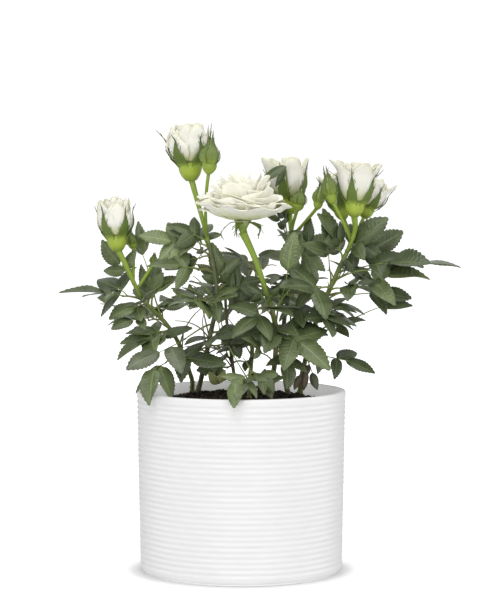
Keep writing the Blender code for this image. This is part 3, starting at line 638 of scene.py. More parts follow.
# flower stems: cane, bend, radius and heads (name, form, start on the first stem, base, tip, width), in mm
flowerStems = {
    "main_stem": ("main_cane", (9, -23, 194), 1.5, [
        ("main_bloom", "open", 0, (1, -27, 219), (1, -28, 248), 58),
    ]),
    "west_stem": ("west_cane", (-25, 4, 222), 1.2, [
        ("west_bloom", "half", 0, (-32, 8, 254), (-34, 8, 278), 27),
        ("west_bud", "bud", 0.1, (-20, -10, 247), (-18, -10, 271), 11),
    ]),
    "left_stem": ("left_cane", (-71, -5, 190), 1.3, [
        ("left_bloom", "half", 0, (-77, -6, 209), (-79, -6, 233), 23),
        ("left_bud", "bud", 0.3, (-67, 11, 200), (-70, 11, 212), 7),
        ("left_small_bud", "bud", 0.13, (-55, 7, 189), (-54, 7, 198), 4),
    ]),
    "centre_stem": ("centre_cane", (31, 27, 215), 1.2, [
        ("centre_bloom", "half", 0, (30, 27, 232), (29, 28, 257), 25),
        ("centre_bud", "bud", 0.2, (35, 7, 224), (38, 7, 239), 8),
        ("centre_small_bud", "bud", 0.13, (47, 1, 225), (50, 0, 242), 7),
    ]),
    "east_stem": ("east_cane", (70, -7, 212), 1.3, [
        ("east_bloom", "half", 0, (70, -12, 230), (72, -12, 254), 22),
        ("east_back_bloom", "half", 0.15, (62, 10, 226), (57, 12, 248), 18),
        ("east_side_bloom", "half", 0.15, (79, 13, 226), (86, 16, 244), 17),
        ("east_bud", "bud", 0.2, (56, -15, 229), (52, -16, 250), 8.5),
    ]),
}
headShape = {
    "hipLength": {"open": 0.15, "half": 0.42, "bud": 0},  # by the head's width, below the petals' foot
    "hipRadius": {"open": 0.09, "half": 0.27},
    "hipSeat": 1.5 * mm,
    "upright": 0.6,  # how much a side stalk turns up before its head
    "budWaist": 0.3,
    "stemSides": 12,
    "budSides": 18,
    "budSteps": 20,
    "hipSides": 22,
    "hipSteps": 14,
    "whorlTurn": 2.4,  # from one whorl of petals to the next
    "sepals": 5,
    "barbs": 5,
    "petalGrid": (13, 11),  # stations along and points across
    "sepalGrid": (17, 5),
    "petalThickness": 0.28 * mm,
    "sepalThickness": 0.3 * mm,
}
# whorls of the open bloom from the lowest: petals, reach and top, half the petal's width, roll of its rim
# layers of a half-open bloom from the outside: petals, size of the cup, top, half the petal's width, its flare
# tops are shares of the bloom's height; reach and the open bloom's petals go by half its width
whorls = {
    "open": [
        (7, 1.0, 0.33, 0.47, 0.09), (7, 0.97, 0.42, 0.47, 0.12), (7, 0.9, 0.53, 0.45, 0.15),
        (7, 0.79, 0.65, 0.40, 0.14), (7, 0.67, 0.77, 0.33, 0.12), (7, 0.55, 0.87, 0.27, 0.10),
        (6, 0.42, 0.95, 0.22, 0.08), (5, 0.29, 1.0, 0.16, 0.05), (3, 0.14, 0.98, 0.11, 0.02),
    ],
    "half": [
        (5, 1.0, 0.74, 0.42, 0.28), (5, 0.92, 0.80, 0.40, 0.20), (5, 0.79, 0.87, 0.36, 0.12),
        (4, 0.62, 0.94, 0.30, 0.07), (4, 0.43, 0.99, 0.22, 0.03), (3, 0.24, 1.0, 0.14, 0),
    ],
}
petalRanges = {  # by how much petals differ, as factors of what their whorl gives
    "open": {"reach": (0.88, 1.0), "top": (0.8, 1.12), "bend": (1.1, 2.2),
             "broad": (0.85, 1.12), "rim": (0.3, 1.6)},
    "half": {"top": (0.9, 1.03), "size": (0.92, 1.0), "mouth": (0.9, 1.12), "bend": (0.98, 1.16),
             "broad": (0.92, 1.06), "flare": (0.4, 1.5)},
}
opening = {  # how wide the top of each half-open bloom stands, and where its first sepal is
    "west_bloom": (0.35, -126), "left_bloom": (0.3, -124), "centre_bloom": (0.6, -104),
    "east_bloom": (1.05, -113), "east_back_bloom": (0.6, -150), "east_side_bloom": (0.6, -60),
}


def pieceName(node, kind):  # east_back_bloom becomes eastBackPetals
    first, *more = node.split("_")[:-1]
    return first + "".join(part.capitalize() for part in more) + kind


def gridFaces(stations, across):
    return [(a * across + b, (a + 1) * across + b, (a + 1) * across + b + 1, a * across + b + 1)
            for a in range(stations - 1) for b in range(across - 1)]


# a petal about +Z at turn 0: line is a cubic of (radius, height), bend the radius its width curls round,
# rim how far its edge rolls outwards, claw the width at its foot, crown how its end is rounded
def petalPoints(line, halfWidth, bend, rim, ruffle, claw, crown, chance):
    stations, across = headShape["petalGrid"]
    s = np.linspace(0, 1, stations)[:, None]
    t = np.linspace(-1, 1, across)[None, :]
    along = s * (1 - crown[0] * np.abs(t) ** crown[1]) + 0 * t
    width = halfWidth * (claw + (1 - claw) * np.sin(pi / 2 * np.clip(s / 0.66, 0, 1)) ** 1.1) + 0 * t
    a, b, c, d = [np.array(point, float) for point in line]
    u = along[..., None]
    middle = a * (1 - u) ** 3 + 3 * b * u * (1 - u) ** 2 + 3 * c * u**2 * (1 - u) + d * u**3
    slope = 3 * (b - a) * (1 - u) ** 2 + 6 * (c - b) * u * (1 - u) + 3 * (d - c) * u**2
    slope /= np.linalg.norm(slope, axis=2, keepdims=True)
    inward = np.stack([-slope[..., 1], slope[..., 0]], axis=2)
    phases = [chance.uniform(0, 6.28) for _ in range(4)]
    angle = width * (t + chance.uniform(-0.12, 0.12) * s) / bend
    lift = bend * (1 - np.cos(angle))
    lift = lift - rim * halfWidth * 2.2 * np.clip((along - 0.72) / 0.28, 0, 1) ** 2  # the rim rolls outwards
    edge = np.abs(t) ** 2 * np.clip(s * 1.4 - 0.3, 0, 1)
    lift = lift + ruffle * edge * np.sin(7 * s + 2.2 * t + phases[0])
    lift = lift + ruffle * 0.8 * np.clip((s - 0.45) / 0.55, 0, 1) ** 2 * np.sin(4.2 * t + phases[1])
    lift = lift + ruffle * 0.25 * np.sin(9 * t + phases[2]) * np.sin(6 * s + phases[3])
    place = middle + inward * lift[..., None]
    points = np.stack([place[..., 0], bend * np.sin(angle), place[..., 1]], axis=2).reshape(-1, 3)
    return points, [(float(x), float(0.5 + 0.5 * y)) for x in s[:, 0] for y in t[0]]


def turnedPoints(points, turn):
    return points @ np.array(Matrix.Rotation(turn, 3, "Z")).T


def standOn(points, base, axis):
    turn = np.array(up.rotation_difference(axis).to_matrix())
    return [Vector(point) for point in np.asarray(points, float) @ turn.T + np.array(base)]


def tilted(points, lean, roll, height):
    spin = Matrix.Rotation(lean, 3, "Y") @ Matrix.Rotation(roll, 3, "X")
    at = np.array((0, 0, height))
    return (points - at) @ np.array(spin).T + at


# heights are eased in under the top of the bloom
def underTop(points, height):
    share = points[:, 2] / height
    eased = 0.92 + 0.09 * np.tanh((share - 0.92) / 0.09)
    points[:, 2] = np.maximum(np.where(share > 0.92, eased, share), -0.02) * height
    return points


# one petal of a head, and how far off its place in the whorl it stands
def openPetal(chance, head, number, reach, top, broad, rim):
    half, height = head["wide"] / 2, head["length"]
    vary = drawEach(chance, petalRanges["open"])
    low = 0.04 * number * height
    far = half * reach * vary["reach"]
    high = height * min(1.0, top * vary["top"])
    line = [(0.1 * half * reach, low), (0.5 * far, low + 0.02 * (high - low)),
            (0.84 * far, low + 0.62 * (high - low)), (far, high)]
    bend = max(0.62 * half * reach, 0.12 * half) * vary["bend"]
    points, uvs = petalPoints(line, broad * half * vary["broad"], bend, rim * vary["rim"],
                              (0.02 + 0.032 * reach) * half, 0.36, (0.26, 1.9), chance)
    return tilted(points, chance.gauss(0, 0.06), chance.gauss(0, 0.09), low), uvs, chance.uniform(-0.2, 0.2)


def halfPetal(chance, head, _, size, top, broad, flare):
    width, opened = head["wide"], opening[head["name"]][0]
    vary = drawEach(chance, petalRanges["half"])
    high = head["length"] * (top + (0.98 - top) * min(1, max(0, 1.3 * opened - 0.4))) * vary["top"]
    girth = 0.5 * width * size * vary["size"]
    mouth = girth * (0.5 + 0.48 * opened) * vary["mouth"]
    line = [(0.5 * girth, 0), (0.86 * girth, 0.18 * high), (1.28 * girth, 0.68 * high), (mouth, high)]
    bend = max(0.92 * girth, 0.06 * width) * vary["bend"]
    points, uvs = petalPoints(line, broad * width * vary["broad"], bend, flare * vary["flare"],
                              0.036 * width, 0.5, (0.3, 1.8), chance)
    return tilted(points, chance.gauss(0, 0.03), chance.gauss(0, 0.06), 0), uvs, chance.uniform(-0.14, 0.14)


def bloomPetals(head):
    chance = random.Random(head["name"] + "petals")
    onePetal = openPetal if head["form"] == "open" else halfPetal
    petals = []
    for number, (count, *row) in enumerate(whorls[head["form"]]):
        for index in range(count):
            points, uvs, off = onePetal(chance, head, number, *row)
            turn = 2 * pi * (index + off) / count + headShape["whorlTurn"] * number
            petals.append((turnedPoints(underTop(points, head["length"]), turn), uvs))
    return petals


# a sepal or other pointed green blade: line is (radius, height) from root to tip, broad its half widths
def sepalParts(line, broad, turn, curl):
    stations, across = headShape["sepalGrid"]
    path = smoothPath([Vector((r, 0, z)) for r, z in line], 4)
    lengths = [0]
    for a, b in zip(path, path[1:]):
        lengths.append(lengths[-1] + (b - a).length)
    shares = [length / lengths[-1] for length in lengths]
    knots = np.linspace(0, 1, len(broad))
    points, uvs = [], []
    for station in range(stations):
        s = station / (stations - 1)
        r, z = (float(np.interp(s, shares, [point[axis] for point in path])) for axis in (0, 2))
        half = float(np.interp(s, knots, broad)) * (1 + 0.06 * sin(station * 2.4))
        ring = max(r, 1.2 * mm)
        for column in range(across):
            t = 2 * column / (across - 1) - 1
            angle = half * t / ring if ring > 2.5 * half else atan2(half * t, ring)
            spread = hypot(half * t, r) if ring <= 2.5 * half else r
            reach = spread + curl * half * abs(t) ** 2
            points.append((reach * cos(angle), ring * sin(angle), z))
            uvs.append((s, 0.5 + 0.5 * t))
    return turnedPoints(np.array(points), turn), gridFaces(stations, across), uvs


def lathePoints(profile, sides):
    turns = [2 * pi * corner / sides for corner in range(sides)]
    rings = [[(radius * cos(turn), radius * sin(turn), z) for turn in turns] for radius, z in profile]
    return closedRings(rings, (0, 0, profile[0][1]), (0, 0, profile[-1][1]))


# the swollen hip under the petals: an urn on a half-open bloom, a funnel on the open one
def hipProfile(head):
    form, wide = head["form"], head["wide"]
    length, radius = headShape["hipLength"][form] * wide, headShape["hipRadius"][form] * wide
    profile = []
    for step in range(headShape["hipSteps"] + 1):
        share = step / headShape["hipSteps"]
        size = 0.30 + 0.75 * share**1.7 if form == "open" else sin(pi * (0.08 + 0.54 * share)) ** 0.6
        profile.append((radius * size, length * (share - 1)))
    return profile + [(0.6 * profile[-1][0], 0.03 * length)]


# closed buds: a small hip, a waist and a body drawn out to a point
def budSwell(share):
    t = (share - headShape["budWaist"]) / (1 - headShape["budWaist"])
    return 0.8 * (1 - t) ** 0.9 + 0.52 * sin(pi * min(1, t * 1.25)) * (1 - t) ** 0.4 * (t < 0.8)


def budProfile(head):
    waist = headShape["budWaist"]
    profile = []
    for step in range(headShape["budSteps"] + 1):
        share = step / headShape["budSteps"]
        size = 0.84 * sin(pi * (0.07 + 0.55 * share / waist)) ** 0.7 if share < waist else budSwell(share)
        profile.append((head["wide"] / 2 * size, head["length"] * share * 0.94))
    return profile


# how far out the petals stand at a height, over a sepal's width about its turn
def clothedRadius(tree, turn, height, half, reach):
    widest = 0.3 * reach
    for step in (-1, -0.6, -0.2, 0.2, 0.6, 1):
        angle = turn + step * half / (0.4 * reach)
        out = Vector((cos(angle), sin(angle), 0))
        hit = tree.ray_cast(out * reach * 1.4 + up * height, -out)[0]
        if hit:
            widest = max(widest, hypot(hit.x, hit.y))
    return widest


# the turn, line and half widths of one sepal, on a bud, on a half-open bloom and below the open one
def budSepal(chance, index, head):
    length, wide = head["length"], head["wide"]
    turn = 2 * pi * index / headShape["sepals"] + chance.uniform(-0.1, 0.1)
    radii = [wide / 2 * max(0.03, budSwell(place)) + 0.3 * mm for place in (0.31, 0.42, 0.6, 0.8)]
    line = [(radii[0] - 0.1 * wide, 0.27 * length)]
    line += [(radius, place * length * 0.94) for radius, place in zip(radii[1:], (0.42, 0.6, 0.8))]
    line.append((chance.uniform(0.02, 0.3) * wide, chance.uniform(0.92, 1.16) * length))
    return turn, line, [*(share * wide for share in (0.27, 0.33, 0.3, 0.17, 0.05)), 0.04 * mm]


def halfSepal(chance, index, head):
    length, wide, petalTree = head["length"], head["wide"], head["petalTree"]
    first = radians(opening[head["name"]][1])
    turn = first + 2 * pi * (index + chance.uniform(-0.08, 0.08)) / headShape["sepals"]
    high = chance.uniform(0.74, 0.98)
    out = chance.choice((1.5, 2.5, 4, 6)) * mm
    line = [(headShape["hipRadius"]["half"] * 0.82 * wide, -0.1 * wide)]
    for place, half in ((0.04, 0.17), (0.16, 0.16), (0.3, 0.12), (0.45, 0.07)):
        radius = clothedRadius(petalTree, turn, place * length, half * wide, wide / 2) + 0.35 * mm
        line.append((radius, place * length))
    last = max(line[-1][0], clothedRadius(petalTree, turn, 0.6 * length, 0.02 * wide, wide / 2) + 0.3 * mm)
    line += [(last, 0.6 * length), (last + out, high * length)]
    broad = (0.15, 0.175, 0.165, 0.13, 0.085, 0.05, 0.018, 0.012)
    return turn, line, [*(share * wide for share in broad), 0.04 * mm]


def openSepal(chance, index, head):
    wide = head["wide"]
    turn = 2 * pi * (index + 0.5) / headShape["sepals"]
    drop = chance.uniform(1, 5) * mm
    tail = chance.uniform(3, 8) * mm
    line = [(0.07 * wide, -1.0 * mm), (0.13 * wide, -1.2 * mm), (0.19 * wide, -2 * mm - 0.5 * drop),
            (0.23 * wide, -3 * mm - drop), (0.2 * wide, -3 * mm - drop - tail)]
    return turn, line, [share * mm for share in (2.2, 2.4, 1.7, 0.9, 0.3, 0.05)]


sepalForms = {  # how each is shaped, its curl, the length of its barbs by the head's width, its green
    "bud": (budSepal, 0.05, 0.2, 1),
    "half": (halfSepal, 0.04, 0.1, 0),
    "open": (openSepal, 0.1, 2.5 / 58, 0),  # barbs of 2.5 mm under the head of 58 mm
}


# thin barbs along a sepal's edges
def barbs(points, chance, size):
    stations, across = headShape["sepalGrid"]
    parts = []
    for _ in range(headShape["barbs"]):
        station = chance.randrange(stations // 3, stations - 3)
        edge = chance.choice((0, across - 1))
        root = Vector(points[station * across + edge])
        ahead = Vector(points[(station + 1) * across + edge]) - root
        out = root - Vector(points[station * across + across // 2])
        way = (ahead.normalized() + 0.9 * out.normalized()).normalized()
        length = size * chance.uniform(0.5, 1.2)
        path = bentPath(root - way * 0.1 * length, root + way * 0.5 * length,
                        root + way * length + ahead.normalized() * 0.3 * length, 3)
        parts.append(tubeParts(path, taper(path, 0.16 * mm, 0.07 * mm), 4))
    return parts


def addSepals(pile, head, base, axis):
    shape, curl, barb, slot = sepalForms[head["form"]]
    chance = random.Random(head["name"])
    for index in range(headShape["sepals"]):
        turn, line, broad = shape(chance, index, head)
        sepal = sepalParts(line, broad, turn, curl)
        for points, faces, uvs in (sepal, *barbs(sepal[0], chance, barb * head["wide"])):
            addToPile(pile, standOn(points, base, axis), faces, uvs, slot)


def stemRelief(point, share, angle):
    return 0.05 * mm * noise.noise(point / (1.5 * mm))


petalFaces = gridFaces(*headShape["petalGrid"])
petalPiles, stemPiles, sepalPiles = {}, {}, {}
for stemName, (cane, bend, radius, heads) in flowerStems.items():
    tip, along = alongPath(canePaths[cane], 1)
    stalks, sepals = newPile(), newPile()
    firstPath = None
    for name, form, share, base, top, width in heads:
        base = Vector(base) * mm
        axis = (Vector(top) * mm - base).normalized()
        head = {"name": name, "form": form, "length": (Vector(top) * mm - base).length, "wide": width * mm}
        seat = base - axis * (headShape["hipLength"][form] * head["wide"] - headShape["hipSeat"])
        if firstPath is None:
            path = smoothPath([tip - along * 1.5 * mm, Vector(bend) * mm, seat], 10)
            firstPath = smoothPath([tip + along * gap, Vector(bend) * mm, seat], 2)
            swell = [(index / (len(path) - 1)) ** 2 for index in range(len(path))]  # thicker towards the head
            radii = [radius * mm * (1.05 + 0.6 * share) for share in swell]
        else:
            start, direction = alongPath(firstPath, share)
            reach = (seat - start).length
            outward = start + direction * 0.45 * reach
            path = bentPath(start, outward.lerp(seat - axis * 0.5 * reach, headShape["upright"]), seat, 14)
            radii = taper(path, 0.8 * radius * mm, 0.9 * radius * mm)
        radii[-1] *= 1.15
        addToPile(stalks, *tubeParts(path, radii, headShape["stemSides"], stemRelief), 0)
        profile, sides = (budProfile, "budSides") if form == "bud" else (hipProfile, "hipSides")
        points, *rest = lathePoints(profile(head), headShape[sides])
        addToPile(stalks, standOn(points, base, axis), *rest, 2 if form == "half" else 1)
        if form != "bud":
            petalPiles[name], loose = newPile(), newPile()
            for points, uvs in bloomPetals(head):
                addToPile(loose, points, petalFaces, uvs, 0)
                addToPile(petalPiles[name], standOn(points, base + axis * gap * 1.5, axis), petalFaces, uvs, 0)
            head["petalTree"] = treeOf(loose["points"], loose["faces"])
        addSepals(sepals, head, base, axis)
    stemPiles[stemName], sepalPiles[stemName] = stalks, sepals


def petalMaterial(name, pale, warm, root, rim, reach):
    material, tree, shader = newMaterial(name, Roughness=0.62, Specular_IOR_Level=0.25, Subsurface_Weight=0.15,
                                         Subsurface_Scale=0.0015, Sheen_Weight=0.12)
    shader.inputs["Subsurface Radius"].default_value = (1.0, 0.95, 0.6)
    place, along, across = shapePlace(tree)
    veins = noiseOver(tree, stretchedPlace(tree, place, (1.6, 26, 1)), 2.2, 3.0)
    blush = noiseOver(tree, objectPlace(tree), 110.0, 2.0)
    cream = blendColours(tree, fadeBetween(tree, blush, 0.42, 0.66), pale, warm)
    inner = blendColours(tree, fadeBetween(tree, along, 0.05, reach), root, cream)
    shaded = (0.9 * pale[0], 0.9 * pale[1], 0.8 * pale[2])
    streaked = blendColours(tree, fadeBetween(tree, veins, 0.42, 0.75, (0, 0.3)), inner, shaded)
    # painted shade: each petal's margin is drawn darker and yellower, partly a yellow tint and partly shade that
    # parts overlapping petals
    fromMiddle = maths(tree, "ABSOLUTE", maths(tree, "SUBTRACT", across, 0.5))
    edge = maths(tree, "MAXIMUM", fadeBetween(tree, along, 0.93, 1.0), fadeBetween(tree, fromMiddle, 0.46, 0.5))
    rimTintAndShade = blendColours(tree, maths(tree, "MULTIPLY", edge, 0.55), streaked, rim)
    joinShader(tree, shader, rimTintAndShade, None, veins, 0.18, 0.4 * mm)
    return material


def greenMaterial(name, root, middle, tip, gloss=0.35, rough=(0.4, 0.55), rooted=0.4):
    material, tree, shader = newMaterial(name, Specular_IOR_Level=gloss)
    place, along, _ = shapePlace(tree)
    streaks = noiseOver(tree, stretchedPlace(tree, place, (2, 14, 1)), 3.0, 4.0)
    flecks = noiseOver(tree, objectPlace(tree), 700.0, 3.0)
    lower = blendColours(tree, fadeBetween(tree, along, 0.02, rooted), root, middle)
    upper = blendColours(tree, fadeBetween(tree, along, 0.4, 0.9), lower, tip)
    shade = blendColours(tree, fadeBetween(tree, streaks, 0.35, 0.7, (0, 0.35)), upper, middle)
    joinShader(tree, shader, shade, fadeBetween(tree, flecks, 0.3, 0.7, rough), flecks, 0.25, 0.2 * mm)
    return material


# lit and shaded copies of one cream: the open bloom's is painted paler, as painted light in its deep layered
# creases, and the half-open blooms' is darker and greyer, as painted shade
litAndShadedCreams = {  # pale and warm tone, root and rim, and how far the root's colour reaches
    "open": petalMaterial("openCream", (0.965, 0.955, 0.84), (0.965, 0.945, 0.875), (0.66, 0.70, 0.30),
                          (0.86, 0.86, 0.62), 0.85),
    "half": petalMaterial("cupCream", (0.84, 0.83, 0.73), (0.86, 0.83, 0.76), (0.58, 0.62, 0.27),
                          (0.62, 0.62, 0.38), 0.55),
}
stemGreens = [  # root, middle and tip of each green
    greenMaterial("stalkGreen", (0.15, 0.21, 0.035), (0.24, 0.34, 0.045), (0.25, 0.36, 0.05)),
    greenMaterial("budGreen", (0.31, 0.41, 0.055), (0.20, 0.29, 0.045), (0.40, 0.43, 0.22)),
    greenMaterial("hipGreen", (0.24, 0.33, 0.05), (0.36, 0.46, 0.055), (0.30, 0.40, 0.06)),
]
sepalGreens = [
    greenMaterial("sepalGreen", (0.34, 0.44, 0.055), (0.125, 0.185, 0.035), (0.065, 0.095, 0.03), 0.3, (0.5, 0.65),
                  0.2),
    greenMaterial("freshSepal", (0.27, 0.35, 0.06), (0.145, 0.20, 0.05), (0.09, 0.125, 0.04), 0.3, (0.45, 0.6),
                  0.3),
]
for name, pile in petalPiles.items():
    cream = litAndShadedCreams["half" if name in opening else "open"]
    petals = pieceFromPile(pieceName(name, "Petals"), pile, [cream], [name])
    applyModifier(petals, "SOLIDIFY", thickness=headShape["petalThickness"], offset=0)
for name, pile in stemPiles.items():
    pieceFromPile(pieceName(name, "Stalk"), pile, stemGreens, [name])
    sepals = pieceFromPile(pieceName(name, "Sepals"), sepalPiles[name], sepalGreens, [name])
    applyModifier(sepals, "SOLIDIFY", thickness=headShape["sepalThickness"], offset=-1)
print("flowers made")

# foliage: each packed mass is one shoot with compound leaves
# (name, cane, place along it, heading, lift, reach, turn of its second leaf, leaves, leaflets, blade)
masses = [
    ("far_right", "east_cane", 0.84, 5, 7, 80, -45, 2, 3, 32),
    ("far_left", "left_cane", 0.96, 188, 11, 56, -70, 2, 3, 29),
    ("left_rim", "left_cane", 0.36, 252, -6, 80, 55, 2, 3, 25),
    ("low_left", "left_cane", 0.60, 226, -16, 48, 50, 3, 3, 27),
    ("west_fan", "west_cane", 0.80, 206, 12, 48, -45, 2, 3, 22),
    ("east_big", "east_cane", 0.72, 239, 8, 56, -60, 2, 3, 31),
    ("main_side", "main_cane", 0.78, 313, -24, 52, 50, 3, 3, 27),
    ("centre_face", "centre_cane", 0.80, 272, 34, 48, 80, 2, 3, 24),
    ("right_top", "east_cane", 0.96, 15, 42, 37, -55, 2, 3, 24),
    ("east_foot", "east_cane", 0.28, 325, -7, 52, -70, 2, 3, 21),
    ("heart", "main_cane", 0.97, 236, -16, 44, 60, 2, 3, 25),
    ("west_front", "west_cane", 0.60, 238, 10, 48, 62, 2, 5, 23),
    ("left_high", "left_cane", 0.84, 80, 68, 38, 75, 2, 3, 22),
    ("left_node", "left_cane", 0.90, 224, -5, 32, 40, 2, 3, 20),
    ("right_low", "east_cane", 0.68, 8, 2, 57, -60, 2, 3, 21),
    ("right_face", "east_cane", 0.77, 338, 33, 38, -60, 2, 3, 18),
    ("right_spear", "east_cane", 0.92, 220, 62, 36, 70, 2, 3, 19),
    ("east_down", "east_cane", 0.60, 277, -19, 42, 55, 2, 3, 21),
    ("under_bloom", "thin_cane", 0.96, 246, 60, 42, 70, 2, 5, 19),
    ("west_top", "west_cane", 0.96, 172, 26, 31, -80, 2, 3, 17),
    ("west_low", "west_cane", 0.40, 270, -3, 56, 50, 2, 3, 21),
    ("centre_mid", "centre_cane", 0.64, 279, -11, 55, -50, 2, 3, 18),
    ("south_left", "south_cane", 0.72, 247, 5, 30, 50, 2, 3, 17),
    ("south_right", "south_cane", 0.96, 300, -18, 24, -60, 1, 3, 15),
    ("centre_high", "centre_cane", 0.93, 160, 60, 49, 85, 2, 3, 19),
    ("west_crown", "west_cane", 0.90, 128, 20, 50, -60, 2, 5, 20),
    ("thin_front", "thin_cane", 0.55, 279, -8, 38, 60, 1, 3, 16),
    ("west_inner", "west_cane", 0.30, 320, 8, 40, 60, 2, 3, 19),
    ("thin_side", "thin_cane", 0.35, 200, 5, 36, 70, 2, 3, 19),
    ("centre_low", "centre_cane", 0.36, 285, -4, 46, 60, 2, 3, 20),
    ("left_back", "left_cane", 0.55, 117, 10, 84, 60, 2, 5, 24),
    ("west_back", "west_cane", 0.48, 112, 8, 88, -55, 2, 5, 24),
    ("thin_back", "thin_cane", 0.72, 100, 25, 70, 60, 2, 3, 24),
    ("east_back", "east_cane", 0.52, 74, 6, 86, 50, 2, 5, 25),
    ("right_back", "east_cane", 0.80, 62, 15, 84, -50, 2, 3, 26),
    ("north_high", "north_cane", 0.97, 115, 5, 52, -75, 2, 5, 23),
    ("north_mid", "north_cane", 0.68, 60, 0, 58, 90, 3, 5, 25),
    ("north_low", "north_cane", 0.42, 110, -8, 55, -75, 2, 5, 22),
]
massNames = [row[0] for row in masses]
rolls = {"far_right": -38, "far_left": 30}  # degrees by which the end leaves of these turn about their length
hang = {"left_rim": 56, "south_right": 50}  # degrees by which leaflets hang where they spill over the rim

growth = {
    "leafShare": 0.75,  # of a mass's reach that its end leaf may take
    "leafStretch": 1.9,
    "stalkShare": 0.97,
    "stemRadius": 0.75 * mm,
    "stemBow": 0.45,
    "seatGap": 0.35 * mm,
    "rachisRadius": 0.5 * mm,
    "rachisBow": 0.55,
    "rachisRise": 0.2,
    "sweep": 28,  # degrees by which shoots and leaves curve sideways
    "sink": 1.2 * mm,
    "near": 1.1 * mm,  # a packed leaf's tip is found within this distance
    "faceMiddle": Vector((5, 28, 0)) * mm,  # leaves turn their upper sides away from here,
    "faceSpread": Vector((0.4, 1, 0)),  # more to the front and back than sideways
    "pairs": {1: (), 3: (0.62,), 5: (0.42, 0.78)},  # places of the leaflet pairs along a leaf
    "pairSizes": (0.86, 0.72),  # from the tip down
    "leafSpacing": 0.36,  # of the shoot, from its tip down
    "laterSize": (0.74, 0.92),  # least and most of the leaves below the end leaf
    "laterRise": (-6, 24),
    "laterRoll": (-20, 20),
    "leaflet": {  # least and most of what is drawn for one leaflet
        "angle": (54, 70), "size": (0.92, 1.06), "roll": (-12, 12), "droop": (0.04, 0.16), "pitch": (-12, 6),
    },
    "pairRoll": 8,
    "shootTries": ((0, 0), (14, 0), (-14, 0), (0, 14), (0, -12), (26, 6), (-26, 6)),
    "leafTries": ((0, 0), (13, 0), (-13, 0), (0, 13), (0, -13), (24, 8), (-24, 8), (0, 28), (36, -8), (-36, -8)),
    "bladeTries": [(pitch, size) for size in (1, 0.8) for pitch in (0, 14, -14, 28, -28)],
}


# hand is -1 or 1 on the sides of a leaf and 0 at its end
def planLeaflet(chance, place, hand, size):
    leaflet = {**drawEach(chance, growth["leaflet"]), "place": place}
    leaflet["angle"] *= hand
    leaflet["size"] *= size
    leaflet["roll"] += growth["pairRoll"] * hand
    return leaflet


# the seeded choices of one mass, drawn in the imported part's order
def planShoot(name, reach, turn, leaves, leaflets, blade, roll):
    chance = random.Random(name)
    length = min(growth["leafShare"] * reach, growth["leafStretch"] * blade)
    plan = []
    for index in range(leaves):
        size = chance.uniform(*growth["laterSize"]) if index else 1
        side = (0, 1, -1)[index]
        leaf = {
            "place": 1 - growth["leafSpacing"] * index,
            "turn": side * turn * chance.uniform(0.9, 1.1),
            "rise": chance.uniform(*growth["laterRise"]) if index else 0,
            "length": length * size * mm,
            "blade": blade * size * mm,
            "roll": chance.uniform(*growth["laterRoll"]) if index else roll,
            "leaflets": [planLeaflet(chance, 1, 0, 1)],
        }
        places = growth["pairs"][min(leaflets, 3 + 2 * chance.randrange(2)) if index else leaflets]
        for place, pairSize in zip(reversed(places), growth["pairSizes"]):
            leaf["leaflets"] += [planLeaflet(chance, place, hand, pairSize) for hand in (-1, 1)]
        plan.append(leaf)
    for leaflet in plan[0]["leaflets"]:
        leaflet["pitch"] -= hang.get(name, 0)
    return plan, (reach - length) * mm


def sweptWay(heading, lift):
    return headingVector(heading + growth["sweep"] * sin(2 * radians(heading)), lift)


# the shoot's packed line, the point of its cane that it grows from, and its bow
def shootPath(cane, place, heading, lift, length):
    anchor, along = alongPath(canePaths[cane], place)
    end = anchor + headingVector(heading, lift) * length
    startWay = (sweptWay(heading, lift) + along * 0.6).normalized()
    outward = startWay.cross(along).length
    offset = (radiusAlong(cane, place) * 0.9 + growth["seatGap"]) / outward + 0.3 * growth["stemRadius"]
    start = anchor + startWay * offset
    middle = start + startWay * growth["stemBow"] * (end - start).length
    return bentPath(start, middle, end, 2), anchor, middle


def sunkRoot(path, place):
    root, along = alongPath(path, place)
    return (root - along * growth["sink"] if place == 1 else root), along


def leafPath(stem, leaf, heading, lift, spans=2):
    start, along = sunkRoot(stem, leaf["place"])
    heading, lift = heading + leaf["turn"], lift + leaf["rise"]
    length = leaf["length"] - leaf["blade"] * growth["stalkShare"]
    way = sweptWay(heading, lift) + along * 0.35 + up * growth["rachisRise"]
    middle = start + way.normalized() * length * growth["rachisBow"]
    return bentPath(start, middle, start + headingVector(heading, lift) * length, spans)


def leafFace(path, roll):
    aim = (path[-1] - path[0]).normalized()
    out = (path[-1] - growth["faceMiddle"]) * growth["faceSpread"]
    face = up * 0.65 + out.normalized() * 0.8
    face = (face - aim * face.dot(aim)).normalized()
    return Matrix.Rotation(radians(roll), 3, aim) @ face


# where a blade grows from, the way it points and the way its upper side faces
def bladeFrame(path, face, leaflet, pitch):
    root, along = sunkRoot(path, leaflet["place"])
    face = (face - along * face.dot(along)).normalized()
    way = Matrix.Rotation(radians(leaflet["angle"]), 3, face) @ along
    lean = Matrix.Rotation(radians(-leaflet["pitch"] - pitch), 3, face.cross(way))
    way = lean @ way
    return root, way, Matrix.Rotation(radians(leaflet["roll"]), 3, way) @ (lean @ face)


def bladeTip(bladeAt, length, droop):
    root, way, face = bladeAt
    return root + way * length - face * (droop * length)


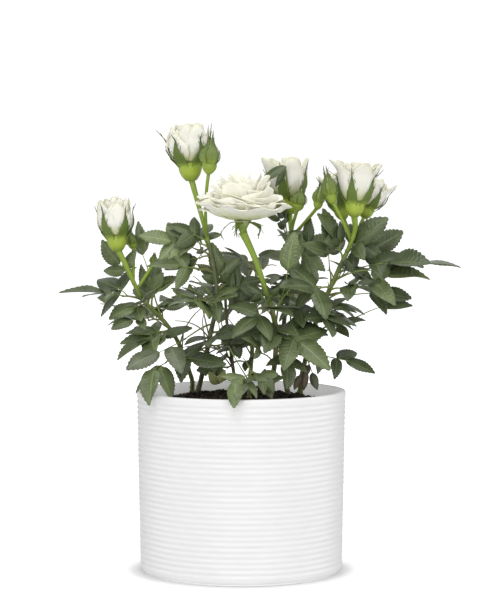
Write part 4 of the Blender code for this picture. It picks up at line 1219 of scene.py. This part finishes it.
# a packed leaf is found where its blades' tips are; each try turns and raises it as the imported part's rule may
def findLeaf(stem, leaf, heading, lift, points):
    options = []
    for turned, raised in growth["leafTries"]:
        path = leafPath(stem, leaf, heading + turned, lift + raised)
        face = leafFace(path, leaf["roll"])
        grown, distance = [], 0
        for leaflet in leaf["leaflets"]:
            tries = []
            for pitch, size in growth["bladeTries"]:
                bladeAt = bladeFrame(path, face, leaflet, pitch)
                length = leaf["blade"] * leaflet["size"] * size
                away = points.find(bladeTip(bladeAt, length, leaflet["droop"]))[2]
                tries.append((away, len(tries), bladeAt, length, leaflet))
            nearest = min(tries, key=lambda option: option[:2])
            if nearest[0] < growth["near"]:
                grown.append(nearest[2:])
                distance += nearest[0]
        if 2 * len(grown) > len(leaf["leaflets"]):
            options.append((-len(grown), distance, len(options), grown, heading + turned, lift + raised))
    return min(options, key=lambda option: option[:3]) if options else None


def findMass(name, cane, place, heading, lift, *row):
    plan, stemLength = planShoot(name, *row, rolls.get(name, 0))
    points = pointTree(nodePoints(name))
    best = None
    for turned, raised in growth["shootTries"]:
        shoot = shootPath(cane, place, heading + turned, lift + raised, stemLength)
        found, count, miss = [], 0, 0
        for leaf in plan:
            option = findLeaf(shoot[0], leaf, heading + turned, lift + raised, points)
            if option:
                count += option[0]
                miss += option[1]
                found.append((leafPath(shoot[0], leaf, *option[4:], 8), option[3]))
        if best is None or (count, miss) < best[0]:
            best = ((count, miss), shoot, found)
    return best[1:]


# one leaflet modelled flat: a grid drawn to the toothed outline, folded at the midrib, given a thickness
leafletShape = {
    "stations": 20,  # two for each tooth along an edge
    "columns": 2,
    "width": 0.70,
    "tooth": 0.045,
    "lean": 0.5,  # how far a tooth points forward, by a station
    "thickness": 0.011,
    "bends": {  # the least and most of each way in which leaflets differ
        "broad": (0.86, 1.14), "sickle": (-0.08, 0.08), "cup": (-0.4, 1.2), "fold": (0.08, 0.5), "wave": (0, 0.02),
        "phase": (0, 6.28), "tip": (0, 0.05), "twist": (-0.6, 0.6),
    },
}


def outlineHalf(share):
    return leafletShape["width"] * max(share, 0.004) ** 0.55 * max(1 - share, 0.003) ** 0.87


letGo()
stations = leafletShape["stations"]
bpy.ops.mesh.primitive_grid_add(x_subdivisions=stations, y_subdivisions=leafletShape["columns"], size=2)
leaflet = bpy.context.object
for vert in leaflet.data.vertices:
    share = (vert.co.x + 1) / 2
    station = round(share * stations)
    half = outlineHalf(share)
    if abs(vert.co.y) > 0.99 and 0 < station < stations:
        half *= 1 + leafletShape["tooth"] * (1 if station % 2 else -1)
        share += leafletShape["lean"] / stations * (1 if station % 2 else -0.2)
    vert.co = (share, vert.co.y * half, 0)
applyModifier(leaflet, "SOLIDIFY", thickness=leafletShape["thickness"], offset=-1)
flatPoints = np.array([vert.co for vert in leaflet.data.vertices])
leafletFaces = [tuple(face.vertices) for face in leaflet.data.polygons]
leafletUnder = [face.normal.z < -0.5 for face in leaflet.data.polygons]
flatShare = np.clip(flatPoints[:, 0], 0, 1)
flatAcross = flatPoints[:, 1] / np.array([outlineHalf(share) for share in flatShare])
leafletUvs = [(float(a), float(b)) for a, b in zip(flatShare, np.clip(0.5 + 0.5 * flatAcross, 0, 1))]
bpy.data.objects.remove(leaflet)


# the flat leaflet bent to its place: drooped, folded, cupped, twisted and waved along its edges
def bentLeaflet(bladeAt, length, droop, bends):
    root, way, face = bladeAt
    share = flatPoints[:, 0]
    half = flatPoints[:, 1] * bends["broad"]
    side = half + bends["sickle"] * share**2
    lift = flatPoints[:, 2] + bends["fold"] * np.abs(half) - bends["cup"] * half**2
    lift = lift + bends["wave"] * np.sin(9 * share + bends["phase"]) * (np.abs(half) / 0.28) ** 2 * np.sign(half)
    lift = lift - bends["tip"] * np.clip((share - 0.6) / 0.4, 0, 1) ** 2
    twist = bends["twist"] * share
    sideways = side * np.cos(twist) - lift * np.sin(twist)
    lifted = side * np.sin(twist) + lift * np.cos(twist) - droop * share**2
    points = np.outer(share, way) + np.outer(sideways, face.cross(way)) + np.outer(lifted, face)
    return [Vector(point) for point in points * length + np.array(root)]


def leafMaterial(name, tone, vein, gloss):
    material, tree, shader = newMaterial(name, Specular_IOR_Level=gloss)
    _, along, across = shapePlace(tree)
    fromRib = maths(tree, "ABSOLUTE", maths(tree, "SUBTRACT", across, 0.5))
    rib = fadeBetween(tree, fromRib, 0.012, 0.045, (1, 0))
    slanted = maths(tree, "SUBTRACT", maths(tree, "MULTIPLY", along, 9.0), maths(tree, "MULTIPLY", fromRib, 3.6))
    wave = maths(tree, "ABSOLUTE", maths(tree, "SUBTRACT", maths(tree, "FRACT", slanted), 0.5))
    side = fadeBetween(tree, wave, 0.4, 0.5)
    veins = maths(tree, "MAXIMUM", rib, maths(tree, "MULTIPLY", side, 0.3))
    soft = noiseOver(tree, objectPlace(tree), 160.0, 4.0)
    dark = tuple(0.72 * part for part in tone)
    body = blendColours(tree, fadeBetween(tree, soft, 0.35, 0.66), dark, tone)
    veined = blendColours(tree, maths(tree, "MULTIPLY", veins, 0.5), body, vein)
    quilt = maths(tree, "SUBTRACT", maths(tree, "MULTIPLY", wave, -1.2), veins)
    quilt = maths(tree, "ADD", quilt, maths(tree, "MULTIPLY", soft, 0.6))
    joinShader(tree, shader, veined, fadeBetween(tree, soft, 0.3, 0.7, (0.27, 0.42)), quilt, 0.3, 0.5 * mm)
    return material


# upper side, underside and vein of each green; sprays are dealt one of them
leafTones = {
    "deep": ((0.074, 0.103, 0.039), (0.144, 0.174, 0.102), (0.192, 0.240, 0.102)),
    "dark": ((0.101, 0.135, 0.053), (0.168, 0.204, 0.118), (0.228, 0.288, 0.126)),
    "plain": ((0.134, 0.174, 0.068), (0.192, 0.228, 0.132), (0.276, 0.348, 0.144)),
    "fresh": ((0.167, 0.220, 0.084), (0.228, 0.270, 0.150), (0.324, 0.396, 0.156)),
    "light": ((0.208, 0.262, 0.110), (0.258, 0.300, 0.180), (0.372, 0.444, 0.204)),
    "dull": ((0.142, 0.166, 0.094), (0.192, 0.216, 0.144), (0.252, 0.288, 0.156)),
    "yellowed": ((0.30, 0.32, 0.11), (0.32, 0.34, 0.15), (0.42, 0.43, 0.19)),
    "withered": ((0.15, 0.115, 0.07), (0.20, 0.165, 0.11), (0.27, 0.22, 0.14)),
}
toneNames = list(leafTones)
toneWeights = {  # how often each green is dealt, in the order above
    "usual": (3, 5, 5, 3, 1.4, 2, 0, 0),
    "east_cane": (9, 7, 3, 1, 0.4, 1, 0, 0),  # the shoots on this side are darker
    "main_cane": (1.5, 3.5, 5, 5, 3, 2, 0, 0),
    "thin_cane": (1.5, 3.5, 5, 5, 3, 2, 0, 0),
}
leafMaterials = []
for name, (upper, under, vein) in leafTones.items():
    leafMaterials.append(leafMaterial(name + "Leaf", upper, vein, 0.5))
    leafMaterials.append(leafMaterial(name + "Under", under, vein, 0.2))
twigGreens = [greenMaterial("twigGreen", (0.16, 0.20, 0.05), (0.22, 0.28, 0.065), (0.20, 0.25, 0.07)),
              greenMaterial("twigBrown", (0.15, 0.14, 0.06), (0.19, 0.19, 0.07), (0.20, 0.21, 0.075))]
foliage = {cane: {"leaves": newPile(), "twigs": newPile(), "stands": []} for cane in caneRoutes}


def pickTone(chance, cane):
    return chance.choices(range(len(toneNames)), toneWeights.get(cane, toneWeights["usual"]))[0]


def addLeaflet(cane, bladeAt, length, droop, tone, bends):
    slots = [2 * tone + under for under in leafletUnder]  # each green has its underside after it
    addToPile(foliage[cane]["leaves"], bentLeaflet(bladeAt, length, droop, bends), leafletFaces, leafletUvs, slots)


massDress = {"spans": 9, "stem": 1.05 * growth["stemRadius"], "tip": growth["rachisRadius"], "sides": 7,
             "stalk": 0.85 * growth["rachisRadius"], "sameTone": 0.55}
fineDress = {"spans": 7, "stem": 0.9 * growth["stemRadius"], "tip": 0.85 * growth["rachisRadius"], "sides": 6,
             "stalk": 0.4 * mm, "sameTone": 0.6}


# the meshes of a shoot: its stem, and the stalk and leaflets of each leaf, in the green dealt to it
def dressShoot(name, cane, shoot, leaves, dress):
    chance = random.Random(name + "dress")
    stem, anchor, bow = shoot
    twigs = foliage[cane]["twigs"]
    addTube(twigs, bentPath(anchor, bow, stem[-1], dress["spans"]), dress["stem"], dress["tip"], dress["sides"],
            chance.choice((0, 1)))
    tone = pickTone(chance, cane)
    for path, blades in leaves:
        radii = taper(path, dress["stalk"], 0.62 * dress["stalk"])
        radii[0] *= 1.5
        addToPile(twigs, *tubeParts(path, radii, 6), 0)
        leafTone = tone if chance.random() < dress["sameTone"] else pickTone(chance, cane)
        for bladeAt, length, leaflet in blades:
            addLeaflet(cane, bladeAt, length, leaflet["droop"], leafTone, drawEach(chance, leafletShape["bends"]))


# what already grows, by its centre and size with a tree of its faces, to keep new leaves clear
crowd = {"centres": [], "sizes": [], "trees": []}


def middleAndSize(points):
    low, high = (Vector([pick(point[axis] for point in points) for axis in range(3)]) for pick in (min, max))
    return (low + high) / 2, (high - low).length / 2


def addToCrowd(points, tree):
    middle, size = middleAndSize(points)
    crowd["centres"].append(middle)
    crowd["sizes"].append(size)
    crowd["trees"].append(tree)


def hasRoom(points, faces):
    middle, size = middleAndSize(points)
    away = np.linalg.norm(np.array(crowd["centres"]) - np.array(middle), axis=1)
    own = treeOf(points, faces)
    close = np.nonzero(away < np.array(crowd["sizes"]) + size)[0]
    return not any(own.overlap(crowd["trees"][index]) for index in close)


# the plain outline of a blade, wider by extra and cut off short of its root by trim
def plainBlade(bladeAt, length, droop, extra=0.0, trim=0.0):
    root, way, face = bladeAt
    points = [root + way * (trim * length)]
    for place, half in ((0.3, 0.26), (0.72, 0.2)):
        middle = root + way * (place * length) - face * (droop * length * place**2)
        side = face.cross(way) * (half * length + extra)
        points += [middle - side, middle + side]
    return points + [bladeTip(bladeAt, length + extra, droop)], [(0, 1, 2), (1, 3, 4, 2), (3, 5, 4)]


tally = []
for row in masses:
    name, cane = row[:2]
    shoot, found = findMass(*row)
    dressShoot(name, cane, shoot, found, massDress)
    foliage[cane]["stands"].append(name)
    for _, blades in found:
        for bladeAt, length, leaflet in blades:
            points, faces = plainBlade(bladeAt, length, leaflet["droop"])
            addToCrowd(points, treeOf(points, faces))
    tally.append((name, sum(len(blades) for _, blades in found)))
print("leaflets on the masses:", tally)
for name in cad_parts:
    if name not in massNames:
        addToCrowd(nodePoints(name), nodeTree(name))

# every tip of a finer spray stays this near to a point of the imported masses
reachTree = pointTree([point for name in massNames for point in nodePoints(name)])
fineGrowth = {
    "near": 9 * mm,
    "shootNear": 24 * mm,
    "clear": 0.35 * mm,
    "sprays": {"west_cane": 4, "left_cane": 1, "main_cane": 3, "centre_cane": 6, "east_cane": 3,
               "thin_cane": 4, "north_cane": 6, "south_cane": 1},
    "shootTries": ((0, 0), (24, 6), (-24, 6)),
    "leafTries": ((0, 0), (16, 0), (-16, 0), (0, 18), (0, -14)),
    "bladeTries": ((0, 1), (16, 1), (-16, 1), (0, 0.75)),
    "spray": {  # least and most of what is drawn for one spray
        "place": (0.2, 0.98), "heading": (0, 360), "lift": (-20, 50), "reach": (22, 40),
    },
    "sprayTurn": (50, 80),
    "sprayBlade": (10, 17),
    "bareTwigs": 14,  # on 100 mm of cane
    "bareTwig": {"heading": (0, 360), "lift": (5, 70), "length": (14 * mm, 34 * mm)},
    "bareRadii": (0.55 * mm, 0.25 * mm),
    "singleDroop": 0.08,
    "singleStalk": (0.42 * mm, 0.3 * mm),
}

# more shoots with one leaf (name, cane, place along it, heading, lift, reach, leaflets, blade)
shoots = [
    ("far_fork", "east_cane", 0.64, 342, 22, 71, 3, 26),
    ("right_thin", "east_cane", 0.40, 355, 23, 69, 1, 20),
    ("rim_drop", "south_cane", 0.86, 253, -19, 36, 1, 17),
    ("low_west", "west_cane", 0.46, 224, -18, 75, 3, 26),
    ("bloom_left", "left_cane", 0.69, 167, 72, 69, 1, 23),
    ("stem_left", "left_cane", 0.94, 170, 56, 48, 3, 18),
    ("west_thin", "west_cane", 1.0, 179, 28, 31, 3, 17),
    ("spear_dark", "east_cane", 0.73, 253, 81, 52, 3, 22),
    ("middle_low", "main_cane", 0.26, 247, 32, 49, 3, 13),
    ("east_low", "centre_cane", 0.57, 269, -37, 74, 3, 16),
    ("left_tip", "left_cane", 0.76, 231, -3, 44, 3, 17),
    ("east_mid", "east_cane", 0.40, 346, 20, 37, 3, 14),
    ("right_mid", "east_cane", 0.71, 320, 14, 43, 3, 20),
    ("face_on", "main_cane", 0.68, 315, 74, 65, 1, 23),
]


def fineLeaf(stem, leaf, heading, lift, near):
    for turned, raised in fineGrowth["leafTries"]:
        path = leafPath(stem, leaf, heading + turned, lift + raised, 6)
        face = leafFace(path, leaf["roll"])
        grown = []
        for leaflet in leaf["leaflets"]:
            for pitch, size in fineGrowth["bladeTries"]:
                bladeAt = bladeFrame(path, face, leaflet, pitch)
                blade = (bladeAt, leaf["blade"] * leaflet["size"] * size, leaflet["droop"])
                if reachTree.find(bladeTip(*blade))[2] > near:
                    continue
                outline = plainBlade(*blade, fineGrowth["clear"], 0.12)
                if hasRoom(*outline):
                    grown.append((*blade[:2], leaflet, outline))
                    break
        if 2 * len(grown) > len(leaf["leaflets"]):
            return path, grown
    return None


def growSpray(near, name, cane, place, heading, lift, *row):
    plan, stemLength = planShoot(name, *row)
    for turned, raised in fineGrowth["shootTries"]:
        shoot = shootPath(cane, place, heading + turned, lift + raised, stemLength)
        leaves = []
        for leaf in plan:
            grown = fineLeaf(shoot[0], leaf, heading + turned, lift + raised, near)
            if grown:
                leaves.append((grown[0], [blade[:3] for blade in grown[1]]))
                for *_, (points, faces) in grown[1]:
                    addToCrowd(points, treeOf(points, faces))
        if leaves:
            dressShoot(name, cane, shoot, leaves, fineDress)
            return sum(len(blades) for _, blades in leaves)
    return 0


def growFineSprays():
    total = 0
    for cane, count in fineGrowth["sprays"].items():
        chance = random.Random(cane + "fine")
        for number in range(count):
            place, heading, lift, reach = drawEach(chance, fineGrowth["spray"]).values()
            total += growSpray(fineGrowth["near"], f"{cane}_fine_{number}", cane, place, heading,
                               lift * (0.4 + 0.6 * place), reach,  # steeper towards the tip of the cane
                               chance.choice((-1, 1)) * chance.uniform(*fineGrowth["sprayTurn"]), 2,
                               chance.choice((3, 5, 5)), chance.uniform(*fineGrowth["sprayBlade"]),
                               chance.uniform(*growth["laterRoll"]))
    return total


# single leaves: cane, foot of the stalk or None for the nearest point of the cane, root, tip, facing, tone,
# how far it curls, how broad it is
singleLeaves = [
    ("east_cane", None, (40, -8, 125), (38, -9, 113.5), (0.2, -1, 0.1), "withered", 2.6, 0.9),
    ("east_cane", None, (44, -4, 124), (46, -7, 113.5), (-0.5, -1, 0), "dull", 2.2, 0.95),
    ("east_cane", None, (36, -11, 123), (33, -13, 114), (-0.3, -1, 0.2), "withered", 2.4, 0.8),
    ("east_cane", None, (42, -6, 129), (37, -9, 121), (-0.2, -1, 0.3), "withered", 2.0, 0.9),
    ("thin_cane", None, (-15, -8, 117), (-20, -12, 125), (-0.2, -1, 0.4), "yellowed", 0.8, 1.0),
    ("thin_cane", None, (-14, -8, 118), (-9.5, -10, 126), (0.2, -1, 0.4), "yellowed", 0.8, 0.9),
    ("south_cane", (7, -44, 127), (-3, -66, 124), (-5, -73, 109.5), (0, -1, 0.25), "fresh", 0.15, 1.05),
    ("centre_cane", (30, 20, 230), (28, 8, 251.5), (11, 6, 243.5), (0, -1, 0.5), "dark", 0.3, 0.62),
    ("centre_cane", (30, 20, 230), (27, 8, 250.5), (21.5, 6, 239), (0.3, -1, 0.2), "dark", 0.3, 0.7),
    ("centre_cane", None, (42, 8, 204), (41.5, 9, 221), (-0.3, -1, 0.1), "deep", 0.6, 0.9),
    ("centre_cane", None, (38, 0, 211), (22.5, -2, 210), (0, -0.6, 1), "deep", 0.4, 1.0),
]


def growSingleLeaves():
    for number, (cane, foot, root, tip, facing, tone, curl, broad) in enumerate(singleLeaves):
        root, tip, face = Vector(root) * mm, Vector(tip) * mm, Vector(facing)
        line = [alongPath(canePaths[cane], step / 40)[0] for step in range(41)]
        start = Vector(foot) * mm if foot else min(line, key=lambda point: (point - root).length)
        way = (tip - root).normalized()
        face = (face - way * face.dot(way)).normalized()
        bends = drawEach(random.Random(f"single {number}"), leafletShape["bends"])
        bends.update(cup=curl, broad=broad)
        bladeAt, length = (root, way, face), (tip - root).length
        addLeaflet(cane, bladeAt, length, fineGrowth["singleDroop"], toneNames.index(tone), bends)
        path = bentPath(start, start.lerp(root, 0.5) + up * 1.5 * mm, root + way * 0.4 * mm, 6)
        addTube(foliage[cane]["twigs"], path, *fineGrowth["singleStalk"], 6, 1 if tone == "withered" else 0)


# thin shoots that carry no leaf, or have lost it
def growBareTwigs():
    for cane, path in canePaths.items():
        chance = random.Random(cane + "bare")
        for _ in range(round(fineGrowth["bareTwigs"] * pathLength(path) / (100 * mm))):
            anchor, along = alongPath(path, chance.uniform(0.15, 0.95))
            heading, lift, length = drawEach(chance, fineGrowth["bareTwig"]).values()
            way = headingVector(heading, lift)
            end = anchor + way * length
            middle = anchor + (way + 0.5 * along + 0.3 * headingVector(chance.uniform(0, 360), 0)) * length * 0.5
            if reachTree.find(end)[2] <= fineGrowth["near"]:
                addTube(foliage[cane]["twigs"], bentPath(anchor, middle, end, 7), *fineGrowth["bareRadii"], 6,
                        chance.choice((0, 0, 1)))


print("leaflets on shoots:", [growSpray(fineGrowth["shootNear"], *row[:6], 60, 1, *row[6:], 0) for row in shoots])
print("leaflets on finer sprays:", growFineSprays())
growSingleLeaves()
growBareTwigs()
for cane, pile in foliage.items():
    pieceFromPile(pieceName(cane, "Leaves"), pile["leaves"], leafMaterials, pile["stands"])
    pieceFromPile(pieceName(cane, "Twigs"), pile["twigs"], twigGreens, pile["stands"])
print("foliage made")

# a plain white floor and soft studio light from in front, above and behind
studio = {
    "floor": 12,
    "nearGlow": (0.06, 0.08, 0.5),  # a lit floor, dimmer under the pot: from and to this far out, and how strong
    "farGlow": (0.3, 1.2, 0.42),
    "ambient": 0.36,
    "background": 1.05,
    "lights": [  # name, place, aim, size, power
        ("lowLeftLight", (-0.7, -1.85, 0.36), (0, 0, 0.12), 0.6, 6.3),
        ("lowRightLight", (0.8, -1.8, 0.36), (0, 0, 0.12), 0.6, 5.5),
        ("frontLight", (-0.15, -1.7, 1.15), (0, 0, 0.14), 1.4, 8.5),
        ("topLight", (0, -0.35, 1.4), (0, 0, 0.15), 1.2, 10.5),
        ("rightLight", (1.5, 0.3, 0.34), (0, 0, 0.12), 0.7, 5),
        ("leftLight", (-1.5, 0.35, 0.34), (0, 0, 0.12), 0.7, 4),
        ("backLight", (0.1, 1.6, 1.0), (0, 0, 0.15), 1.6, 5),
    ],
    "camera": (0.0017, -1.5, 0.258),
    "cameraTilt": 86.6,
    "lens": 145.3,
}
letGo()
bpy.ops.mesh.primitive_plane_add(size=studio["floor"])
floor = bpy.context.object
floor.name = "floor"
floorPaint = mottledMaterial("floorPaint", [(0.79, 0.79, 0.79), (0.80, 0.80, 0.80)], 0.5, 0.02, (0.85, 0.95),
                             0.01, 0.1)
tree = floorPaint.node_tree
fromMiddle = lengthOf(tree, objectPlace(tree))
nearGlow, farGlow = (fadeBetween(tree, fromMiddle, start, end, (0, glow))
                     for start, end, glow in (studio["nearGlow"], studio["farGlow"]))
seen = addNode(tree, "LightPath").outputs["Is Camera Ray"]
addGlow(tree, tree.nodes["Principled BSDF"], maths(tree, "MULTIPLY", maths(tree, "ADD", nearGlow, farGlow), seen))
floor.data.materials.append(floorPaint)

world = bpy.data.worlds.new("studio")
bpy.context.scene.world = world
world.use_nodes = True
tree = world.node_tree
tree.nodes.clear()
lightSky, whiteSky = (addNode(tree, "Background", {"Color": (1, 1, 1), "Strength": studio[sky]}).outputs[0]
                      for sky in ("ambient", "background"))
seen = addNode(tree, "LightPath").outputs["Is Camera Ray"]
both = addNode(tree, "MixShader", {0: seen, 1: lightSky, 2: whiteSky})
addNode(tree, "OutputWorld", {"Surface": both.outputs[0]})

for name, place, aim, size, power in studio["lights"]:
    letGo()
    bpy.ops.object.light_add(type="AREA", location=place)
    light = bpy.context.object
    light.name = name
    light.data.size = size
    light.data.energy = power
    light.rotation_euler = (Vector(aim) - Vector(place)).to_track_quat("-Z", "Y").to_euler()

letGo()
bpy.ops.object.camera_add(location=studio["camera"], rotation=(radians(studio["cameraTilt"]), 0, 0))
camera = bpy.context.object
camera.data.lens = studio["lens"]
bpy.context.scene.camera = camera
bpy.context.scene.view_settings.view_transform = "Standard"
